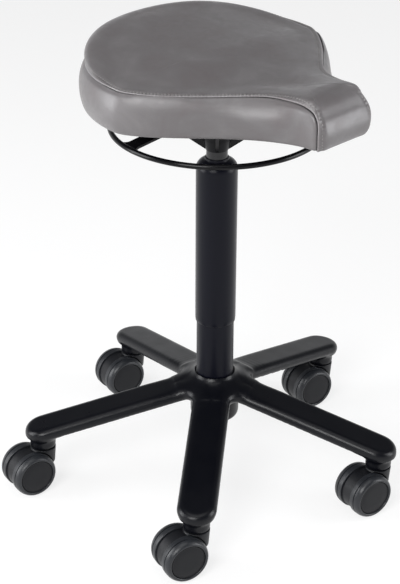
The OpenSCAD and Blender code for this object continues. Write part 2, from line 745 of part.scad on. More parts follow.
module seat_foam() {
    foam_bottom = pan_bottom + pan_t;
    color("#d8cfa8") intersection() {
        polyhedron(
            points = concat(
                [for (j = [1 : row_count - 1]) for (i = [0 : ring_count - 1])
                    seat_point(i, j, leather_t + foam_gap)],
                [[0, 0, rim_z + leather_t + foam_gap]]),
            faces = concat(
                [for (j = [0 : row_count - 3]) for (i = [0 : ring_count - 1]) each quad(
                    j * ring_count + i, j * ring_count + (i + 1) % ring_count,
                    (j + 1) * ring_count + (i + 1) % ring_count, (j + 1) * ring_count + i)],
                [for (i = [0 : ring_count - 1])
                    [(row_count - 1) * ring_count, (i + 1) % ring_count, i]])
        );
        translate([-seat_half_w * 2, -nose_reach * 2, foam_bottom])
            cube([seat_half_w * 4, nose_reach * 4, 2 * band_h]);
    }
}

module release_ring() {
    fillet_r = 8;
    spoke_len = norm([ring_r - ring_hub_r, spoke_rise * (ring_r - ring_hub_r)]);
    color("#15161a") {
        translate([0, 0, ring_z]) rotate_extrude($fn = 128)
            translate([ring_r, 0]) circle(r = ring_bar_d / 2, $fn = 24);
        translate([0, 0, spoke_bottom]) cylinder(r = ring_hub_r + 2, h = spoke_t);
        for (side = [0, 180]) rotate([0, 0, ring_turn + side])
            translate([ring_r, 0, ring_z]) rotate([0, spoke_tilt, 0])
                translate([-spoke_len - spoke_t, 0, -spoke_t / 2]) linear_extrude(spoke_t) {
                    translate([0, -spoke_w / 2]) square([spoke_len + spoke_t, spoke_w]);
                    for (edge = [-1, 1]) scale([1, edge])
                        translate([spoke_len + spoke_t - fillet_r - ring_bar_d / 2, spoke_w / 2 - cut / 10])
                            difference() {
                                square([fillet_r + ring_bar_d / 4, fillet_r]);
                                translate([0, fillet_r]) circle(r = fillet_r);
                            }
                }
    }
}

module release_button() {
    stem_in = button_d * 1.5;
    tip = button_d / 8;
    color("#c4c7cb") translate([0, 0, cylinder_top - stem_in]) {
        cylinder(r = button_d / 2, h = stem_in + button_h - tip);
        translate([0, 0, stem_in + button_h - tip])
            cylinder(r1 = button_d / 2, r2 = button_d / 2 - tip, h = tip);
    }
}

// Places a castor piece: local +X runs from the stem to the axle, local Z is the stem
module at_castor(n) {
    rotate([0, 0, leg_angle(n)]) translate([leg_reach, 0, 0])
        rotate([0, 0, swivel[n - 1] - leg_angle(n)]) children();
}

// A solid of revolution round the axle, drawn with x as radius and y as the place along the axle
module round_axle() {
    translate([trail, 0, axle_z]) rotate([-90, 0, 0]) rotate_extrude() children();
}

module castor_stem(n) {
    groove_z = boss_bottom + stem_len * 0.7;
    color("#a9acb0") at_castor(n) difference() {
        union() {
            translate([0, 0, stem_bottom]) cylinder(r = stem_d / 2 - 1, h = boss_bottom - stem_bottom);
            translate([0, 0, boss_bottom - stem_flange_t])
                cylinder(r = stem_d / 2 + 3, h = stem_flange_t);
            translate([0, 0, boss_bottom]) cylinder(r = stem_d / 2, h = stem_len - 0.5);
        }
        translate([0, 0, groove_z]) difference() {
            cylinder(r = stem_d, h = 2.5);
            translate([0, 0, -cut]) cylinder(r = stem_d / 2 - 0.6, h = 2.5 + 2 * cut);
        }
    }
}

module castor_hood(n) {
    skirt_z = 8;
    neck_bottom = axle_z + 6;
    neck_foot_r = boss_r - 2;
    axle_boss_r = axle_r + 4;
    web_t = 5;
    clear_r = wheel_r + 0.9;
    half = hood_w / 2;
    color("#232427") at_castor(n) difference() {
        union() {
            difference() {
                round_axle() {
                    translate([hood_r - hood_wall, -half]) square([hood_wall, hood_w]);
                    translate([axle_r, -web_t / 2]) square([hood_r - hood_wall / 2 - axle_r, web_t]);
                    translate([axle_r, -half]) square([axle_boss_r - axle_r, hood_w]);
                }
                translate([trail - 2 * hood_r, -hood_w, skirt_z - hood_r * 2])
                    cube([4 * hood_r, 2 * hood_w, hood_r * 2]);
                translate([trail - 2 * hood_r, -hood_w, 0])
                    cube([2 * hood_r - axle_boss_r, 2 * hood_w, axle_z - 2]);
            }
            difference() {
                translate([0, 0, neck_bottom])
                    cylinder(r1 = neck_foot_r, r2 = boss_r, h = hood_top - neck_bottom);
                for (side = [-1, 1]) translate([trail, side * (half + boss_r + wheel_gap / 2), axle_z])
                    rotate([90, 0, 0]) cylinder(r = clear_r, h = 2 * boss_r, center = true);
                translate([trail, 0, axle_z]) rotate([90, 0, 0])
                    cylinder(r = hood_r - hood_wall, h = 4 * boss_r, center = true);
            }
            translate([0, 0, stem_bottom - 3])
                cylinder(r = stem_d / 2 + 2.5, h = hood_top - stem_bottom);
        }
        translate([0, 0, stem_bottom - 0.4]) cylinder(r = stem_d / 2 - 1 + run_gap, h = hood_top);
        translate([trail, 0, axle_z]) rotate([90, 0, 0])
            cylinder(r = axle_r + press_gap, h = 2 * hood_w, center = true);
    }
}

module castor_axle(n) {
    color("#a9acb0") at_castor(n) translate([trail, 0, axle_z]) rotate([90, 0, 0])
        cylinder(r = axle_r, h = hood_w + 2 * (wheel_w - 5), center = true);
}

module castor_wheel(n, side) {
    cap_t = 2.4;
    cap_in = 1.8;
    rim_in = 3.5;
    hub_wall = 4;
    bore_r = axle_r + run_gap;
    color("#303134") at_castor(n) mirrored(side) {
        round_axle() difference() {
            union() {
                translate([bore_r, wheel_in]) square([rim_r - bore_r, wheel_w - rim_in]);
                translate([bore_r, wheel_in]) square([cap_r - bore_r, wheel_w - cap_in]);
            }
            translate([bore_r + hub_wall, wheel_in - cut])
                square([rim_r - 2.5 - bore_r - hub_wall, wheel_w - cap_in - cap_t + cut]);
            translate([cap_r - 1.8, wheel_out - cap_in - 0.4]) square([0.8, cut]);
        }
        translate([trail, wheel_out - cap_in - cap_t, axle_z]) rotate([-90, 0, 0])
            cylinder(r = bore_r + 2, h = cap_t);
    }
}

module mirrored(side) {
    mirror([0, side < 0 ? 1 : 0, 0]) children();
}

module castor_tyre(n, side) {
    color("#505255") at_castor(n) mirrored(side) round_axle() intersection() {
        translate([rim_r + 0.02, wheel_in]) square([tread_t, wheel_w]);
        union() {
            translate([rim_r, wheel_in]) square([tread_t, wheel_w - shoulder_w]);
            translate([wheel_r - shoulder_r, wheel_out - shoulder_w]) circle(r = shoulder_r);
        }
    }
}

base_star();
standpipe();
guide_bush();
bearing_washer_lower();
piston_rod();
piston_head();
rod_clip();
bearing_washer_upper();
bearing_cage();
gas_cylinder();
cylinder_gland();
column_cover();
taper_socket();
seat_plate();
seat_screws();
seat_spider();
seat_pan();
seat_foam();
leather_top();
leather_band();
release_ring();
release_button();
for (n = [1 : leg_count]) {
    castor_stem(n);
    castor_hood(n);
    castor_axle(n);
    castor_wheel(n, 1);
    castor_wheel(n, -1);
    castor_tyre(n, 1);
    castor_tyre(n, -1);
}
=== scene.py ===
# %% [markdown]
# # A saddle stool
#
# The real stool is a leather saddle seat on a gas lift, with a round release ring under the seat
# and a five-legged cast base on twin-wheel casters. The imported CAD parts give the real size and
# every place. This script dresses them: it makes the leather, the stitching, the cast and moulded
# surfaces, and the light of a plain photo studio.
#
# Everything is in metres. Most numbers below are written in millimetres and multiplied by MM,
# because that is how a stool is measured.

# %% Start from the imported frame
import json
import math

import bmesh
import bpy
import numpy as np
from mathutils import Matrix, Vector
from mathutils.bvhtree import BVHTree
from mathutils.kdtree import KDTree


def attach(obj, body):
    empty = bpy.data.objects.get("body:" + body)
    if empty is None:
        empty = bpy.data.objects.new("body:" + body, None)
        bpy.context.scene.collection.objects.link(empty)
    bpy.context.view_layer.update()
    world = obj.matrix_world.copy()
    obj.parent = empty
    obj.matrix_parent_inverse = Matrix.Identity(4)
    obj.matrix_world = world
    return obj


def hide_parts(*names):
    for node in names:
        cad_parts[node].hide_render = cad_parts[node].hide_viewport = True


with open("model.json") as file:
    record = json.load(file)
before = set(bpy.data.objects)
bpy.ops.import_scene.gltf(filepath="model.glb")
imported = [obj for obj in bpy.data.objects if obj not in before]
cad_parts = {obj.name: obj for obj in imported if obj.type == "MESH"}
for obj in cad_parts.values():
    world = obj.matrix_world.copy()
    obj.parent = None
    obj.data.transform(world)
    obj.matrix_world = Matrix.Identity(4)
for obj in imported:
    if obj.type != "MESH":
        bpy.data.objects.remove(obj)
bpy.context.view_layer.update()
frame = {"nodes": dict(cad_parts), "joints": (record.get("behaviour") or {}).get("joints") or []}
MM = 0.001

# %% [markdown]
# ## Camera
#
# The camera was found by fitting the legs, the casters and the column to the photograph: it
# stands 2.2 m away, off the front left corner of the seat, and looks down by 28 degrees. The lens
# is long, about 100 mm, which keeps the verticals almost parallel.

# %% Camera
FOCAL_PX, PICTURE_PX, FILM_MM = 1632.07, 584, 36
CAMERA_AT = (-1351.15, -1351.15, 1291.88)
LOOK_ALONG = (0.61674, 0.63024, -0.47163)
CAMERA_TILT = 0.31
camera = bpy.data.objects.new("camera", bpy.data.cameras.new("camera"))
bpy.context.collection.objects.link(camera)
camera.data.sensor_width = FILM_MM
camera.data.lens = FOCAL_PX / PICTURE_PX * FILM_MM
camera.location = Vector(CAMERA_AT) * MM
camera.rotation_mode = "QUATERNION"
aim = Vector(LOOK_ALONG).to_track_quat("-Z", "Y")
camera.rotation_quaternion = aim @ Matrix.Rotation(math.radians(CAMERA_TILT), 3, "Z").to_quaternion()
bpy.context.scene.camera = camera
print("lens in mm:", round(camera.data.lens, 1))

# %% [markdown]
# ## Small helpers
#
# Colours are written as sRGB hex, as a paint chart gives them, and one function turns them to the
# linear values that the renderer wants. One function adds a node to a material. One turns a bmesh
# into a finished piece that rides on a CAD body.

# %% Helpers for colours, nodes and pieces
def linear(hex_code, alpha=1.0):
    """An sRGB hex code as a linear colour."""
    parts = [int(hex_code[k:k + 2], 16) / 255 for k in (1, 3, 5)]
    return tuple(c / 12.92 if c < 0.04045 else ((c + 0.055) / 1.055) ** 2.4 for c in parts) + (alpha,)


def put(tree, kind, inputs=None, **settings):
    """Adds one node. inputs maps a socket to a value, or to an output that is linked to it."""
    made = tree.nodes.new(kind)
    for key, value in settings.items():
        setattr(made, key, value)
    for key, value in (inputs or {}).items():
        if isinstance(value, bpy.types.NodeSocket):
            tree.links.new(value, made.inputs[key])
        else:
            made.inputs[key].default_value = value
    return made


def start_material(name):
    """A new material without nodes, and its node tree."""
    material = bpy.data.materials.new(name)
    material.use_nodes = True
    material.node_tree.nodes.clear()
    return material, material.node_tree


def add_shader(tree, inputs):
    """Closes a material with its surface shader and its output."""
    shader = put(tree, "ShaderNodeBsdfPrincipled", inputs)
    put(tree, "ShaderNodeOutputMaterial", {"Surface": shader.outputs[0]})


def ramp_stops(ramp, stops):
    """Sets a colour ramp's stops from (place, colour) pairs."""
    while len(ramp.color_ramp.elements) < len(stops):
        ramp.color_ramp.elements.new(0.5)
    for element, (place, colour) in zip(ramp.color_ramp.elements, stops):
        element.position, element.color = place, colour


def new_object(name, data):
    """An object that shows a mesh or a light, in the scene."""
    made = bpy.data.objects.new(name, data)
    bpy.context.collection.objects.link(made)
    return made


def to_piece(name, bm, material, body, stands_for=(), smooth_angle=35):
    """Turns a bmesh in metres into an object at the origin that rides on a CAD body."""
    mesh = bpy.data.meshes.new(name)
    for face in bm.faces:
        face.smooth = True
    bm.to_mesh(mesh)
    bm.free()
    mesh.set_sharp_from_angle(angle=math.radians(smooth_angle))
    mesh.materials.append(material)
    piece = new_object(name, mesh)
    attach(piece, body)
    if stands_for:
        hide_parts(*stands_for)
    return piece


def add_modifier(piece, kind, **settings):
    """Adds one modifier with its settings."""
    modifier = piece.modifiers.new(kind.lower(), kind)
    for key, value in settings.items():
        setattr(modifier, key, value)
    return modifier


# %% [markdown]
# ## Studio
#
# The photograph has a white ground and large soft boxes. Black paint is dark where the eye meets
# it squarely and pale where it is seen at a grazing angle, so the white ground alone makes the
# column lighter at its edges. Two tall boxes beside the stool, on the left and on the right, draw
# the long highlights on the side band and the nose. A box high in front and one overhead light the
# top of the seat. A white horizon fades to a dim sky above.

# %% Floor and sky
FLOOR_REACH = 40
ground = bmesh.new()
bmesh.ops.create_grid(ground, x_segments=1, y_segments=1, size=FLOOR_REACH)
floor_mesh = bpy.data.meshes.new("studio_floor")
ground.to_mesh(floor_mesh)
ground.free()
studio_floor = new_object("studio_floor", floor_mesh)
paper, tree = start_material("white studio paper")
add_shader(tree, {"Base Color": linear("#8c8c8c"), "Roughness": 0.9, "Specular IOR Level": 0.1,
                  "Emission Color": linear("#ffffff"), "Emission Strength": 0.76})
floor_mesh.materials.append(paper)

sky = bpy.data.worlds.new("soft white sky")
bpy.context.scene.world = sky
sky.use_nodes = True
sky.node_tree.nodes["Background"].inputs["Color"].default_value = (0.97, 0.98, 1, 1)
height = put(sky.node_tree, "ShaderNodeSeparateXYZ", {
    "Vector": put(sky.node_tree, "ShaderNodeTexCoord").outputs["Generated"]})
fade = put(sky.node_tree, "ShaderNodeMapRange", {
    "Value": height.outputs["Z"], "From Min": 0.2, "From Max": 0.36, "To Min": 0.78, "To Max": 0.13})
sky.node_tree.links.new(fade.outputs[0], sky.node_tree.nodes["Background"].inputs["Strength"])
print("floor reaches in m:", FLOOR_REACH)


# %% Soft boxes
COLUMN_MIDDLE, SEAT_FOOT = (0, 0, 0.4), (0, 0, 0.5)
WHITE, COOL_WHITE = (1, 1, 1), (0.97, 0.98, 1)


def soft_box(name, place, target, size, power, colour=WHITE):
    """A rectangular studio light at a place, turned to a target."""
    data = bpy.data.lights.new(name, "AREA")
    data.shape = "RECTANGLE"
    data.size, data.size_y = size
    data.energy, data.color = power, colour
    light = new_object(name, data)
    light.location = place
    light.rotation_euler = (Vector(target) - Vector(place)).to_track_quat("-Z", "Y").to_euler()
    return light


soft_box("left_box", (-1.7, 1.35, 0.95), COLUMN_MIDDLE, (1.1, 1.7), 36, COOL_WHITE)
soft_box("right_box", (1.4, -1.75, 0.95), COLUMN_MIDDLE, (1.0, 1.7), 30, COOL_WHITE)
soft_box("front_box", (-2.0, -0.75, 1.75), SEAT_FOOT, (1.2, 1.2), 44)
soft_box("top_box", (-0.3, -0.2, 2.5), COLUMN_MIDDLE, (1.7, 1.7), 14)
bpy.context.scene.view_settings.view_transform = "Standard"
print("lights:", len(bpy.data.lights))

# %% [markdown]
# ## The saddle's outline
#
# The real cover is cut from two pieces of leather: a top panel and a side band. Both follow the
# seat's outline, so the outline comes first. It is half an ellipse round the back, two curves
# that draw in to the waist, and a narrow nose with rounded corners. It is kept as one dense line
# from the middle of the back to the middle of the nose, and the other half is its mirror image.

# %% Outline of the seat, in mm: u runs forward from the column, v runs out to the side
REAR, HALF_W, NOSE, NOSE_W, CORNER_R = 162, 173, 215, 48, 14
FLANK = (86, 109)
# how far the two curves that meet at the flank pull along its slope
FLANK_PULL_BACK, FLANK_PULL_FRONT = 28, 33
RIM_Z, BAND_H = 547, 51


def curve(p0, p1, p2, p3, count=120):
    """A cubic curve from p0 to p3, without its first point."""
    t = np.linspace(0, 1, count)[1:, None]
    return ((1 - t) ** 3 * p0 + 3 * t * (1 - t) ** 2 * np.array(p1)
            + 3 * t * t * (1 - t) * np.array(p2) + t ** 3 * np.array(p3))


def run_along(points):
    """Distance of each point from the first, along the line."""
    return np.concatenate([[0], np.cumsum(np.linalg.norm(np.diff(points, axis=0), axis=1))])


turn = np.radians(np.linspace(180, 90, 200))
corner = np.radians(np.linspace(90, 0, 60))[1:]
corner_u = NOSE - CORNER_R
rim = np.vstack([
    np.column_stack([REAR * np.cos(turn), HALF_W * np.sin(turn)]),
    curve((0, HALF_W), (20, HALF_W), (FLANK[0] - FLANK_PULL_BACK, FLANK[1] + FLANK_PULL_BACK), FLANK),
    curve(FLANK, (FLANK[0] + FLANK_PULL_FRONT, FLANK[1] - FLANK_PULL_FRONT),
          (corner_u - 30, NOSE_W), (corner_u, NOSE_W)),
    np.column_stack([corner_u + CORNER_R * np.cos(corner),
                     NOSE_W - CORNER_R + CORNER_R * np.sin(corner)]),
    np.column_stack([np.full(40, NOSE), np.linspace(NOSE_W - CORNER_R, 0, 41)[1:]]),
])
rim_run = run_along(rim)
rim_dir = np.gradient(rim, rim_run, axis=0)
HALF_LEN = rim_run[-1]
# the seam turns down at the nose's corner, 30 degrees into its rounding
SEAM_A = float(np.interp(corner_u, rim[:, 0], rim_run)) + CORNER_R * math.radians(30)
print("half of the outline in mm:", round(HALF_LEN), "and to the nose seam:", round(SEAM_A))


def rim_at(a):
    """Point and inward direction of the outline at distance a from the middle of the back."""
    p = np.array([np.interp(a, rim_run, rim[:, k]) for k in (0, 1)])
    d = np.array([np.interp(a, rim_run, rim_dir[:, k]) for k in (0, 1)])
    d /= np.linalg.norm(d)
    return p, np.array([d[1], -d[0]])


# %% [markdown]
# ## The saddle's section
#
# At each place of the outline the cover has one section: it starts under the seat, turns round
# the lower edge, climbs the side, rolls over and runs in to the middle line. The heights follow
# the real seat: the back edge stands about 25 mm higher, the middle is crowned, a dip lies before the
# nose, and the nose rises again.

# %% Heights of the seat's edge and of its middle line, in mm above the band
BACK_RISE, NOSE_RISE, WAIST_SINK, FLANK_SINK, EDGE_RISE = 25.5, 6, 2.2, 2.5, 1.5
CROWN, SADDLE_DIP = 12, 5


def bump(x):
    """A smooth hill, 1 high at 0 and nearly gone at 2."""
    return np.exp(-np.square(x))


def ease(t):
    """Goes from 0 to 1 with a soft start and end."""
    t = np.clip(t, 0, 1)
    return t * t * (3 - 2 * t)


def back_rise(u):
    """The edge climbs towards the back."""
    return BACK_RISE * ease(-u / 150)


def waist_dip(u):
    """The edge and its seam sink a little at the waist."""
    return WAIST_SINK * bump((u - 100) / 36)


def edge_height(u):
    """Height of the top panel's edge."""
    return (EDGE_RISE + back_rise(u) + NOSE_RISE * bump((u - 190) / 42) - waist_dip(u)
            - FLANK_SINK * bump((u - 45) / 38))


def mid_height(u):
    """How far the middle line stands above the edge: a crown, then the saddle's dip."""
    return CROWN * bump((u + 10) / 75) - SADDLE_DIP * bump((u - 128) / 38)


print("edge height in mm, back and nose:", round(float(edge_height(-REAR)), 1),
      round(float(edge_height(NOSE)), 1))

# %% Wall and roll of the section
# Each row of a wall is [inset, height, share of the nose's tuck, share of the waist's lean]
SIDE_WALL = np.array([[21, -2, 1, 0], [7, -2, 1, 0], [1.5, 0, 0.9, 0], [-1.4, 6, 0.7, 0],
                      [-3.6, 20, 0.15, 0.1], [-2.8, 35.7, 0, 0.45], [0.8, 45.9, 0, 0.85], [5, 51, 0, 1]])
NOSE_WALL = np.array([[21, 0, 1, 0], [7, 0, 1, 0], [1.8, 1.2, 0.9, 0], [-1, 6, 0.7, 0],
                      [-1.2, 18, 0.15, 0], [0.8, 27.5, 0, 0], [4.6, 36, 0, 0], [10.8, 43.2, 0, 0]])
# Each row of the roll is [inset past the wall, share of the edge's height, share of the overhang]
ROLL = np.array([[0, 0.38, 1], [1, 0.68, 0.8], [6, 0.9, 0], [14, 0.98, 0], [28, 1, 0]])
NOSE_ROLL = np.array([[3.5, 0.32, 0], [8, 0.6, 0], [14.5, 0.82, 0], [23, 0.95, 0], [36, 1, 0]])


# how many points the smooth line has for each span between two given points
PER_SPAN = 10


def smooth_line(points):
    """A smooth line through the points, which are dense enough for a Catmull-Rom curve."""
    step = np.maximum(np.linalg.norm(np.diff(points, axis=0), axis=1), 1e-6)
    run = np.concatenate([[0], np.cumsum(step)])
    slope = np.gradient(points, run, axis=0)
    out = [points[:1]]
    for k in range(len(points) - 1):
        t = np.linspace(0, 1, PER_SPAN + 1)[1:, None]
        h = step[k]
        out.append((2 * t ** 3 - 3 * t ** 2 + 1) * points[k] + (t ** 3 - 2 * t ** 2 + t) * h * slope[k]
                   + (3 * t ** 2 - 2 * t ** 3) * points[k + 1] + (t ** 3 - t ** 2) * h * slope[k + 1])
    return np.vstack(out)


# %% The way in from the outline to the middle line
# the ways end on the middle line, spread over this stretch from back to nose
MIDDLE_START, MIDDLE_SPAN = -105, 250


def inward_path(a):
    """The way in from the outline to the middle line, as points with their distance travelled."""
    p, inward = rim_at(a)
    end = np.array([0.36 * p[0] + 0.5 * (MIDDLE_START + MIDDLE_SPAN * a / HALF_LEN), 0])
    pull = 0.35 * np.linalg.norm(end - p)
    near_corner = bump((a - SEAM_A - 4) / 22)
    pull = pull * (1 - near_corner) + min(pull, 10) * near_corner
    t = np.linspace(0, 1, 80)[:, None]
    way = (1 - t) ** 2 * p + 2 * t * (1 - t) * (p + inward * pull) + t * t * end
    run = run_along(way)
    return p, inward, way, run


# %% One whole section of the cover
NOSE_TUCK, WAIST_LEAN, BACK_HANG = 4.5, 10, 1.6
# the waist's dip starts at this height of the wall and is whole at its top
DIP_FROM = 7


def section(a):
    """Points of the cover in mm at distance a round the outline, from the hem to the middle line,
    with their distances and the number of the point that ends the wall."""
    p, inward, way, run = inward_path(a)

    def plan(inset):
        inset = np.atleast_1d(inset)[:, None]
        along = np.column_stack([np.interp(inset[:, 0], run, way[:, k]) for k in (0, 1)])
        return np.where(inset < 0, p + inward * inset, along)

    front = ease((a - SEAM_A + 20) / 30)
    side = SIDE_WALL.copy()
    # towards the nose the side's bulge flattens and its lower edge lifts a little
    side[:, 0] += np.clip(-side[:, 0], 0, None) * ease((p[0] - 135) / 50)
    side[:3, 1] += np.array([1.6, 1.6, 0.8]) * ease((p[0] - 135) / 50)
    wall = side * (1 - front) + NOSE_WALL * front
    tuck = NOSE_TUCK * ease((p[0] - 90) / 60)
    lean = WAIST_LEAN * bump((p[0] - 140) / 38)
    inset = wall[:, 0] + tuck * wall[:, 2] + lean * wall[:, 3]
    height = wall[:, 1] - waist_dip(p[0]) * np.clip(wall[:, 1] - DIP_FROM, 0, None) / (BAND_H - DIP_FROM)
    hang = BACK_HANG * back_rise(p[0]) / BACK_RISE
    low = height[-1] - BAND_H
    roll = ROLL * (1 - front) + NOSE_ROLL * front
    roll_in = inset[-1] + roll[:, 0] - hang * roll[:, 2]
    roll_up = BAND_H + low + (edge_height(plan(roll_in)[:, 0]) - low) * roll[:, 1]
    line = smooth_line(np.column_stack([np.append(inset, roll_in), np.append(height, roll_up)]))
    outer = np.column_stack([plan(line[:, 0]), line[:, 1]])
    share = np.linspace(0, 1, 50)[1:]
    inner = plan(roll_in[-1] + (run[-1] - roll_in[-1]) * share)
    crown = edge_height(inner[:, 0]) + mid_height(inner[:, 0]) * (1 - (1 - share) ** 2)
    points = np.vstack([outer, np.column_stack([inner, BAND_H + crown])])
    return points, run_along(points), (len(wall) - 1) * PER_SPAN


print("length of the section at the back in mm:", round(section(0)[1][-1]))

# %% [markdown]
# ## The cover as one grid
#
# The whole cover is first one grid bent into place, with its lines close together along the seam.
# The seam runs along the top of the side band, turns down in a wide curve at the nose and meets
# the lower edge as a straight line. One grid means that the top panel and the band share the
# same edge until they are cut apart.

# %% Places of the grid's lines, in mm from the seam where it turns down, and from the hem
near_seam = np.array([38, 32, 27, 22.5, 18.5, 15, 12, 9.5, 7.2, 5.4, 4, 2.8, 1.9, 1.2, 0.5, 0])
past_seam = np.array([0.5, 1, 1.7, 2.8, 4.4, 5.4, 6, 6.6, 7.6, 9.5, 12.5, 16, 20, 24.5])
back_part = np.linspace(0, SEAM_A - 44, 92)
front_part = np.linspace(SEAM_A + 29, HALF_LEN, 4)
COLS = np.concatenate([back_part, SEAM_A - near_seam, SEAM_A + past_seam, front_part])
SEAM_COL = len(back_part) + len(near_seam) - 1
TURN_LEN, TURN_DROP = 40, 21


def seam_drop(a):
    """How far the seam has turned down at a place of the outline."""
    x = np.clip((SEAM_A - a) / TURN_LEN, 0, 1)
    return TURN_DROP * (1 - (1 - (1 - x) ** 2.5) ** (1 / 2.5))


below = np.array([9, 6.4, 4.2, 2.6, 1.4, 0.5, 0])
above = np.array([0.5, 1, 1.7, 2.8, 4.4, 5.4, 6, 6.6, 7.6, 9.5, 12.5, 16.5, 21.5, 27.5, 34.5])
hem_rows = np.array([0, 4.5, 9, 13, 16, 18.5, 21, 23.5, 26])
WALL_ROWS, TOP_ROWS = 5, 15
SEAM_ROW = len(hem_rows) + WALL_ROWS + len(below) - 1
half_grid = []
for a in COLS:
    points, run, wall_end = section(a)
    seam_height = BAND_H + 0.8 - waist_dip(rim_at(a)[0][0]) - seam_drop(min(a, SEAM_A))
    # the seam lies on the wall or just past it, so the search leaves out the parts that run level
    climb = slice(2 * PER_SPAN, wall_end + 2 * PER_SPAN)
    seam_at = float(np.interp(seam_height, points[climb, 2], run[climb]))
    low = np.linspace(hem_rows[-1], seam_at - below[0], WALL_ROWS + 2)[1:-1]
    high = np.linspace(seam_at + above[-1], run[-1], TOP_ROWS + 1)[1:]
    rows = np.concatenate([hem_rows, low, seam_at - below, seam_at + above, high])
    half_grid.append(np.column_stack([np.interp(rows, run, points[:, k]) for k in range(3)]))
half_grid = np.array(half_grid)
# the first and the last line lie exactly in the middle, so that both halves share them
half_grid[0, :, 1] = half_grid[-1, :, 1] = 0
ROWS = half_grid.shape[1]
grid = np.concatenate([half_grid, half_grid[-2::-1] * (1, -1, 1)])
COL_COUNT = len(grid)
grid = np.stack([grid[..., 1], -grid[..., 0], grid[..., 2] + RIM_Z], axis=-1) * MM
print("grid:", grid.shape, "seam at row", SEAM_ROW, "and column", SEAM_COL)

# %% The grid as a mesh
cover = bmesh.new()
bmesh.ops.create_grid(cover, x_segments=COL_COUNT - 1, y_segments=ROWS - 1, size=0.5)
col_tag = cover.verts.layers.int.new("col")
row_tag = cover.verts.layers.int.new("row")
panel_tag = cover.faces.layers.int.new("panel")
for vert in cover.verts:
    vert[col_tag] = round((vert.co.x + 0.5) * (COL_COUNT - 1))
    vert[row_tag] = round((vert.co.y + 0.5) * (ROWS - 1))
for vert in cover.verts:
    vert.co = grid[vert[col_tag], vert[row_tag]]
for face in cover.faces:
    cols = [vert[col_tag] for vert in face.verts]
    on_nose = min(cols) >= SEAM_COL and max(cols) <= COL_COUNT - 1 - SEAM_COL
    face[panel_tag] = int(on_nose or min(vert[row_tag] for vert in face.verts) >= SEAM_ROW)
bmesh.ops.remove_doubles(cover, verts=cover.verts, dist=0.02 * MM)
bmesh.ops.recalc_face_normals(cover, faces=cover.faces)
if sum(face.normal.z * face.calc_area() for face in cover.faces) < 0:
    bmesh.ops.reverse_faces(cover, faces=cover.faces)
print("cover:", len(cover.verts), "points,", len(cover.faces), "faces")

# %% [markdown]
# ## Stuffing the cover
#
# A real cover is pulled over foam, sewn along the seam and stapled under the seat, so it is tight
# at those lines and swells between them. The cloth simulation does the same: the seam, the
# lower edge and the hem are pinned, and a light pressure pushes the leather out. The swell is
# capped, so that the cover keeps the stool's real size, and averaged between neighbours, because
# the foam underneath carries no small wrinkles.

# %% Points of the cover, and which of them are held
HELD_LINES = 5


def read_rows(items, key):
    """A place or a direction of each point of a mesh, as rows of three numbers."""
    values = np.zeros(len(items) * 3)
    items.foreach_get(key, values)
    return values.reshape(-1, 3)


cover_mesh = bpy.data.meshes.new("cover_cloth")
cover.to_mesh(cover_mesh)
cover.free()
cloth_piece = new_object("cover_cloth", cover_mesh)
before = read_rows(cover_mesh.vertices, "co")
cols = np.zeros(len(before), int)
rows = np.zeros(len(before), int)
cover_mesh.attributes["col"].data.foreach_get("value", cols)
cover_mesh.attributes["row"].data.foreach_get("value", rows)
cols = np.where(cols > (COL_COUNT - 1) / 2, COL_COUNT - 1 - cols, cols)
seam_side = (np.abs(rows - SEAM_ROW) <= HELD_LINES) & (cols <= SEAM_COL)
seam_nose = (np.abs(cols - SEAM_COL) <= HELD_LINES) & (rows <= SEAM_ROW + HELD_LINES)
pinned = seam_side | seam_nose | (rows <= len(hem_rows) - 1)
print("points held:", int(pinned.sum()), "of", len(pinned))

# %% Cloth simulation of the cover
PRESSURE, FRAMES, CAP, EVEN_ROUNDS = 3, 20, 5 * MM, 90
held = cloth_piece.vertex_groups.new(name="sewn")
held.add([int(k) for k in np.flatnonzero(pinned)], 1.0, "REPLACE")
cloth = cloth_piece.modifiers.new("cloth", "CLOTH")
settings = cloth.settings
settings.quality = 6
settings.mass = 0.4
settings.tension_stiffness = settings.compression_stiffness = 25
settings.shear_stiffness = 10
settings.bending_stiffness = 2
settings.use_pressure = True
settings.uniform_pressure_force = PRESSURE
settings.vertex_group_mass = "sewn"
settings.effector_weights.gravity = 0
cloth.collision_settings.use_collision = False
for step in range(1, FRAMES + 1):
    bpy.context.scene.frame_set(step)
bpy.context.view_layer.objects.active = cloth_piece
cloth_piece.select_set(True)
bpy.ops.object.modifier_apply(modifier="cloth")
bpy.context.scene.frame_set(1)
swell = read_rows(cloth_piece.data.vertices, "co") - before
far = np.linalg.norm(swell, axis=1)
print("swell in mm: mean %.2f, most %.2f" % (far.mean() / MM, far.max() / MM))
swell *= np.minimum(1, CAP / np.maximum(far, 1e-9))[:, None]
links = np.array([edge.vertices[:] for edge in cloth_piece.data.edges])
neighbours = np.bincount(links.ravel(), minlength=len(before))[:, None]
for _ in range(EVEN_ROUNDS):
    total = np.zeros_like(swell)
    np.add.at(total, links[:, 0], swell[links[:, 1]])
    np.add.at(total, links[:, 1], swell[links[:, 0]])
    swell = np.where(pinned[:, None], swell, (swell + total / neighbours) / 2)
cloth_piece.data.vertices.foreach_set("co", (before + swell).ravel())

# %% [markdown]
# ## Sewing the seam
#
# The two pieces of leather are sewn face to face and turned out. That leaves a narrow groove,
# with the folded edge of the top panel standing up beside it. A second row of stitches, 6 mm
# further in, holds the fold down and pulls a shallow channel. So each point near the seam is
# moved along its normal by an amount that depends on its distance to the seam line.

# %% Seam line, groove, folded edge and stitched channel
place = read_rows(cloth_piece.data.vertices, "co")
normals = read_rows(cloth_piece.data.vertex_normals, "vector")
